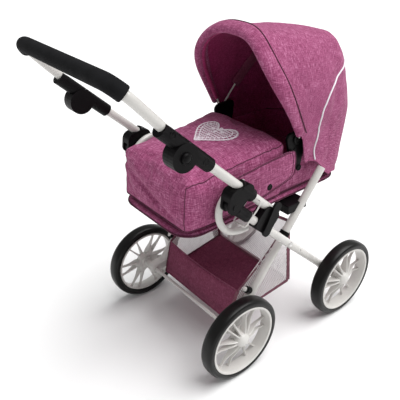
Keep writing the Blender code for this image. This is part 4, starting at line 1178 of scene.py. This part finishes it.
def flap(mark, sign):
    """Side wing folded over the cover, with a stitched hem and a snap."""
    outline = []
    closed = FLAP + FLAP[:1]
    for (ay, az), (by, bz) in zip(closed, closed[1:]):
        for i in range(8):
            outline.append(Vector((0, mix(ay, by, i / 8), mix(az, bz, i / 8))))
    for _ in range(6):
        outline = [(outline[i - 1] + 2 * outline[i] + outline[(i + 1) % len(outline)]) / 4
                   for i in range(len(outline))]
    centre = Vector((0, -0.060, 0.3540))

    def surface(p, layer):
        """x of the flap at p: 0 its inner face, 1 its outer one."""
        sag = 0.0007 * noise.noise(Vector((p.y * 30, p.z * 30, 2.5 * sign)))
        pull = 0.0006 * math.sin(p.y * 95 + p.z * 40)
        return sign * (0.1008 + layer * 0.0030 + (sag + pull) * 0.8 * layer)

    def ring(scale, layer, lift=0.0):
        """The outline shrunk about the middle and laid on one of the flap's layers."""
        shrunk = [centre + (p - centre) * scale for p in outline]
        return [Vector((surface(q, layer) + sign * lift, q.y, q.z)) for q in shrunk]

    layers = ((0.02, 0), (0.35, 0), (0.7, 0), (0.96, 0), (0.99, 0.15), (1.0, 0.5), (0.99, 0.85),
              (0.96, 1.0), (0.925, 0.80), (0.90, 1.02), (0.86, 1.12), (0.7, 1.2), (0.35, 1.25),
              (0.02, 1.25))
    shape = Shape().loft([ring(scale, layer) for scale, layer in layers])
    ob = shape.make("cot_wing_" + mark, MAUVE, "carrycot", "mauve_fabric", ["cot_flap_" + mark], smooth=0)
    trims = Shape()
    # Hem piping and stitch line in dark mauve: painted shade along the hem
    for scale, width in ((1.0, 0.0007), (0.925, 0.0004)):
        path = ring(scale, 1.0, 0.0002)
        trims.tube(path + path[:2], width, 8)
    trims.make("cot_wing_piping_" + mark, SEAM_SHADE, "carrycot", smooth=0)
    snaps = Shape()
    for y, z, x in ((-0.037, 0.3350, 0.1042), (0.042, 0.3460, 0.0985)):
        snaps.lathe([(x - 0.002, 0.0), (x - 0.002, 0.0058), (x + 0.0008, 0.0060), (x + 0.0016, 0.0054),
                     (x + 0.0019, 0.0042), (x + 0.0012, 0.0034), (x + 0.0013, 0.0)],
                    (0, y, z), sign, 32)
    snaps.make("snap_buttons_" + mark, BLACK_PLASTIC, "carrycot")


both(flap)


# ---- lace heart ----------------------------------------------------------------------------
HEART_Y = -0.078
OVER_APRON = 0.42  # height to drop points from onto the cover


def heart_point(k, scale=1.0, wave=0.0):
    """Point at angle k round the heart's outline."""
    x = 0.0420 * (0.62 * math.sin(k) ** 3 + 0.38 * math.sin(k))
    y = 0.0400 * (13 * math.cos(k) - 5 * math.cos(2 * k) - 2 * math.cos(3 * k) - math.cos(4 * k)) / 16
    y -= 0.002
    r = scale + wave
    return Vector((x * r, HEART_Y + 0.002 + y * r, OVER_APRON))


def lace_heart():
    """Openwork heart of cord loops, ladder bars and crossed threads, laid on the cover."""
    def lay(points, lift):
        return laid_on(APRON_TREE, points, lift, lambda p: Vector((0, 0, 1)))

    shape = Shape()
    full = [2 * math.pi * i / 160 for i in range(162)]
    for scale, radius, lift in ((0.975, 0.0009, 0.0007), (0.78, 0.0010, 0.0007)):
        shape.tube(lay([heart_point(k, scale) for k in full], lift), radius, 8)
    fine = [2 * math.pi * i / 640 for i in range(642)]
    scallop = [heart_point(k, 1.0, 0.028 * abs(math.sin(k * 20))) for k in fine]
    shape.tube(lay(scallop, 0.0007), 0.0006, 6)
    # ladder bars of the openwork border
    for i in range(38):
        k = 2 * math.pi * (i + 0.5) / 38
        shape.tube(lay([heart_point(k, s) for s in (0.78, 0.88, 0.975)], 0.0006), 0.0008, 6)
    # crossed threads inside
    inner = [heart_point(2 * math.pi * i / 200, 0.76) for i in range(200)]
    for axis in (0, 1):
        other = 1 - axis
        low, high = min(p[other] for p in inner), max(p[other] for p in inner)
        steps = round((high - low) / (0.0050 if axis else 0.0064))
        for n in range(1, steps):
            level = low + (high - low) * n / steps
            cuts = []
            for a, b in zip(inner, inner[1:] + inner[:1]):
                if (a[other] - level) * (b[other] - level) < 0:
                    u = (level - a[other]) / (b[other] - a[other])
                    cuts.append(mix(a[axis], b[axis], u))
            cuts.sort()
            for c0, c1 in zip(cuts[::2], cuts[1::2]):
                run = max(2, int((c1 - c0) / 0.0025))
                pts = []
                for i in range(run + 1):
                    along = mix(c0, c1, i / run)
                    p = [0, 0, OVER_APRON]
                    p[axis], p[other] = along, level + 0.0004 * math.sin(along * 900)
                    pts.append(Vector(p))
                shape.tube(lay(pts, 0.0005), 0.0008 if axis == 0 else 0.0006, 6)
    # small flowers down the middle
    for fx, fy in ((0, 0.004), (-0.012, 0.010), (0.012, 0.010), (0, -0.012), (0, 0.018)):
        for petal in range(6):
            k = math.pi * petal / 3
            c = Vector((fx + 0.0022 * math.cos(k), HEART_Y + fy + 0.0022 * math.sin(k), OVER_APRON))
            rivet(shape, lay([c], 0.0004)[0], (0, 0, 1), 0.0015, 0.0010)
    shape.make("lace_heart", LACE, "carrycot", "white_lace", ["heart_patch"], smooth=0)


lace_heart()


# ---- basket --------------------------------------------------------------------------------
TOP_HANDLE = Vector((0.1050, -0.1050, 0.1390))
LOW_HANDLE = Vector((0.0990, -0.1235, 0.0765))
LOW_HOOD = Vector((0.1055, 0.0350, 0.0965))
TOP_HOOD = Vector((0.1055, 0.0190, 0.2450))


CANVAS_COLUMNS = 36
WALL_ROWS = 14


def on_side(p, sign):
    return Vector((p.x * sign, p.y, p.z))


def across_basket(p):
    """The two places of a corner, from the L side to the R one."""
    return [on_side(p, -1), p]


def patch(c00, c10, c11, c01, bulge, across, along, seed, wrinkle=0.0012):
    """Four-cornered sheet that bellies out by the vector bulge."""
    rows, uvs = [], []
    for r in range(along + 1):
        v = r / along
        row, line_uv = [], []
        for i in range(across + 1):
            u = i / across
            p = c00.lerp(c10, u).lerp(c01.lerp(c11, u), v)
            inside = 0 < u < 1 and 0 < v < 1
            fall = (math.sin(math.pi * u) * math.sin(math.pi * v)) ** 0.8 if inside else 0.0
            p = p + bulge * fall
            soft = noise.noise(Vector((u * 5 + seed, v * 5, seed)))
            soft += 0.5 * noise.noise(Vector((u * 14, v * 9 + seed, 1)))
            p = p + bulge.normalized() * wrinkle * soft * fall
            row.append(p)
            line_uv.append((u * (c10 - c00).length, v * (c01 - c00).length))
        rows.append(row)
        uvs.append(line_uv)
    return rows, uvs


def rows_area(rows):
    total = 0.0
    for a, b in zip(rows, rows[1:]):
        for i in range(len(a) - 1):
            total += (a[i + 1] - a[i]).cross(b[i] - a[i]).length / 2
            total += (b[i + 1] - b[i]).cross(b[i + 1] - a[i + 1]).length / 2
    return total


def canvas():
    """Floor and handle-end wall in one piece of canvas."""
    wall, _ = patch(*across_basket(TOP_HANDLE), *reversed(across_basket(LOW_HANDLE)),
                    Vector((0, -0.0045, -0.001)), CANVAS_COLUMNS, WALL_ROWS, 1.0)
    for i, p in enumerate(wall[0]):
        sag = math.sin(math.pi * i / CANVAS_COLUMNS)
        p.z -= 0.0060 * sag
        p.y += 0.0020 * sag
    floor_rows, _ = patch(*across_basket(LOW_HANDLE), *reversed(across_basket(LOW_HOOD)),
                          Vector((0, 0, -0.0180)), CANVAS_COLUMNS, 34, 4.0, 0.0016)
    rows = wall + floor_rows[1:]
    uvs, v, middle = [], 0.0, CANVAS_COLUMNS // 2
    for r, row in enumerate(rows):
        v += (row[middle] - rows[r - 1][middle]).length if r else 0.0
        uvs.append([(p.x, v) for p in row])
    for row in rows:
        for p in row:
            p.z = max(p.z, 0.0670)
    ob = Shape().grid(rows, uvs).make("basket_canvas", PLUM, "rear_frame", "plum_fabric", ["basket"],
                                      smooth=0)
    area = rows_area(rows)
    thicken(ob, 0.0010, 0)
    subdivide(ob)
    return ob, area, rows


CANVAS, CANVAS_AREA, CANVAS_ROWS = canvas()


def basket_sides():
    """Net walls between the canvas floor and the hanging top corners, each with its area."""
    walls = []
    for mark, sign in SIDES:
        corners = [on_side(p, sign) for p in (LOW_HANDLE, LOW_HOOD, TOP_HOOD, TOP_HANDLE)]
        rows, uvs = patch(*corners, Vector((sign * 0.0030, 0, 0)), 30, 22, 7.0 + sign)
        # the lower edge follows the sagging floor
        column = CANVAS_COLUMNS if sign > 0 else 0
        edge = [row[column] for row in CANVAS_ROWS[WALL_ROWS:]]
        rows[0] = [edge[round(i / 30 * (len(edge) - 1))] for i in range(31)]
        ob = Shape().grid(rows, uvs).make("basket_net_" + mark, NET, "rear_frame", smooth=0)
        walls.append((ob, rows_area(rows)))
    rows, uvs = patch(*across_basket(LOW_HOOD), *reversed(across_basket(TOP_HOOD)), Vector((0, 0.0040, 0)),
                      32, 26, 12.0, 0.0015)
    for i, p in enumerate(rows[-1]):
        p.z -= 0.0100 * math.sin(math.pi * i / 32)
    walls.append((Shape().grid(rows, uvs).make("basket_net_end", NET, "rear_frame", smooth=0),
                  rows_area(rows)))
    return walls


NET_WALLS = basket_sides()


def tape(name, points, width, across, material=BINDING, sag=0.0, thickness=0.0014):
    """Flat binding tape along a line; across is the direction of its width."""
    points = line(points)
    total = len(points) - 1
    across = Vector(across).normalized()
    rings = []
    for i, p in enumerate(points):
        p = p - Vector((0, 0, sag * math.sin(math.pi * i / total)))
        tangent = (points[min(i + 1, total)] - points[max(i - 1, 0)]).normalized()
        wide = (across - tangent * across.dot(tangent)).normalized()
        high = tangent.cross(wide)
        wave = 0.0002 * math.sin(i * 1.9)
        ring = []
        for k in circle(12):
            c, s = math.cos(k), math.sin(k)
            ring.append(p + wide * math.copysign(abs(c) ** 0.5, c) * width / 2
                        + high * (math.copysign(abs(s) ** 0.6, s) * thickness / 2 + wave))
        rings.append(ring)
    Shape().loft(rings).make(name, material, "rear_frame", smooth=0)


tape("basket_tape_top", across_basket(TOP_HANDLE), 0.0075, (0, -0.3, 1), PLUM, 0.0060)
tape("basket_tape_fold", across_basket(LOW_HANDLE), 0.0045, (0, 1, 0.4), PLUM)
tape("basket_tape_end_low", across_basket(LOW_HOOD), 0.0090, (0, 1, 0.6))
tape("basket_tape_end_top", across_basket(TOP_HOOD), 0.0070, (0, 0, 1), sag=0.0100)
for mark, sign in SIDES:
    top_handle, low_handle, low_hood, top_hood = (
        on_side(p, sign) for p in (TOP_HANDLE, LOW_HANDLE, LOW_HOOD, TOP_HOOD))
    tape("basket_tape_corner_" + mark, [top_handle, low_handle], 0.0070, (sign * 0.6, 1, 0))
    tape("basket_tape_floor_" + mark, [low_handle, low_hood], 0.0080, (0, 0, 1))
    tape("basket_tape_upright_" + mark, [low_hood, top_hood], 0.0100, (0, 1, 0.1))
    tape("basket_tape_rail_" + mark, [top_handle, top_hood], 0.0060, (0, -0.5, 1), sag=0.0080)
    # loop round the rear leg, and the strap down from it
    loop_at = rear_point(0.012, 0, sign * REAR_LEG_X)
    axis = (rear_point(1, 0, 0) - rear_point(0, 0, 0)).normalized()
    side = Vector((1, 0, 0))
    ring = [loop_at + (side * math.cos(k) + axis.cross(side) * math.sin(k)) * (TUBE_R + 0.0012)
            for k in circle(40)]
    tape("basket_loop_" + mark, ring + ring[:1], 0.0090, axis, BLACK_PLASTIC, thickness=0.0016)
    tape("basket_hanger_" + mark, [top_hood, loop_at - Vector((0, 0, 0.004))], 0.0080, (0, 1, 0.3),
         BLACK_PLASTIC)


# ---- floor, light and camera ---------------------------------------------------------------
def stage_floor():
    n = Nodes("floor")
    stops = ((0.3, (0.82, 0.82, 0.82)), (0.7, (0.84, 0.84, 0.84)))
    n.set(Base_Color=n.ramp(n.noise(n.coords(), 3, 2), stops), Roughness=0.9, Specular_IOR_Level=0.0)
    mesh = bpy.data.meshes.new("floor")
    half = 40.0
    mesh.from_pydata([(-half, -half, 0), (half, -half, 0), (half, half, 0), (-half, half, 0)], [],
                     [(0, 1, 2, 3)])
    mesh.materials.append(n.material)
    floor = bpy.data.objects.new("floor", mesh)
    bpy.context.scene.collection.objects.link(floor)


def sun_light(name, towards, spread, strength):
    """Broad even light from one direction; spread is its angle in degrees."""
    data = bpy.data.lights.new(name, "SUN")
    data.angle = math.radians(spread)
    data.energy = strength
    light = bpy.data.objects.new(name, data)
    bpy.context.scene.collection.objects.link(light)
    light.rotation_mode = "QUATERNION"
    light.rotation_quaternion = Vector(towards).to_track_quat("Z", "Y")


stage_floor()
world = bpy.data.worlds.new("studio")
bpy.context.scene.world = world
world.use_nodes = True
sky = world.node_tree.nodes["Background"].inputs
sky["Color"].default_value = (1, 1, 1, 1)
sky["Strength"].default_value = 0.38
sun_light("soft_sun", (0.24, 0.32, 0.92), 60, 4.0)
bpy.context.scene.view_settings.view_transform = "Standard"

CAMERA_AZIMUTH = math.radians(51.155)
CAMERA_HEIGHT = math.radians(29.959)
CAMERA_ROLL = math.radians(-0.254)
CAMERA_AIM = Vector((0.0113, -0.0517, 0.2974))
CAMERA_AWAY = 0.9686
data = bpy.data.cameras.new("camera")
data.sensor_width = 36
data.lens = 48.15
camera = bpy.data.objects.new("camera", data)
bpy.context.scene.collection.objects.link(camera)
level = math.cos(CAMERA_HEIGHT)
back = Vector((math.sin(CAMERA_AZIMUTH) * level, -math.cos(CAMERA_AZIMUTH) * level,
               math.sin(CAMERA_HEIGHT)))
right = Vector((0, 0, 1)).cross(back).normalized()
up = back.cross(right)
turned_right = right * math.cos(CAMERA_ROLL) + up * math.sin(CAMERA_ROLL)
turned_up = up * math.cos(CAMERA_ROLL) - right * math.sin(CAMERA_ROLL)
turn = Matrix((turned_right, turned_up, back)).transposed()
camera.matrix_world = Matrix.Translation(CAMERA_AIM + back * CAMERA_AWAY) @ turn.to_4x4()
bpy.context.scene.camera = camera
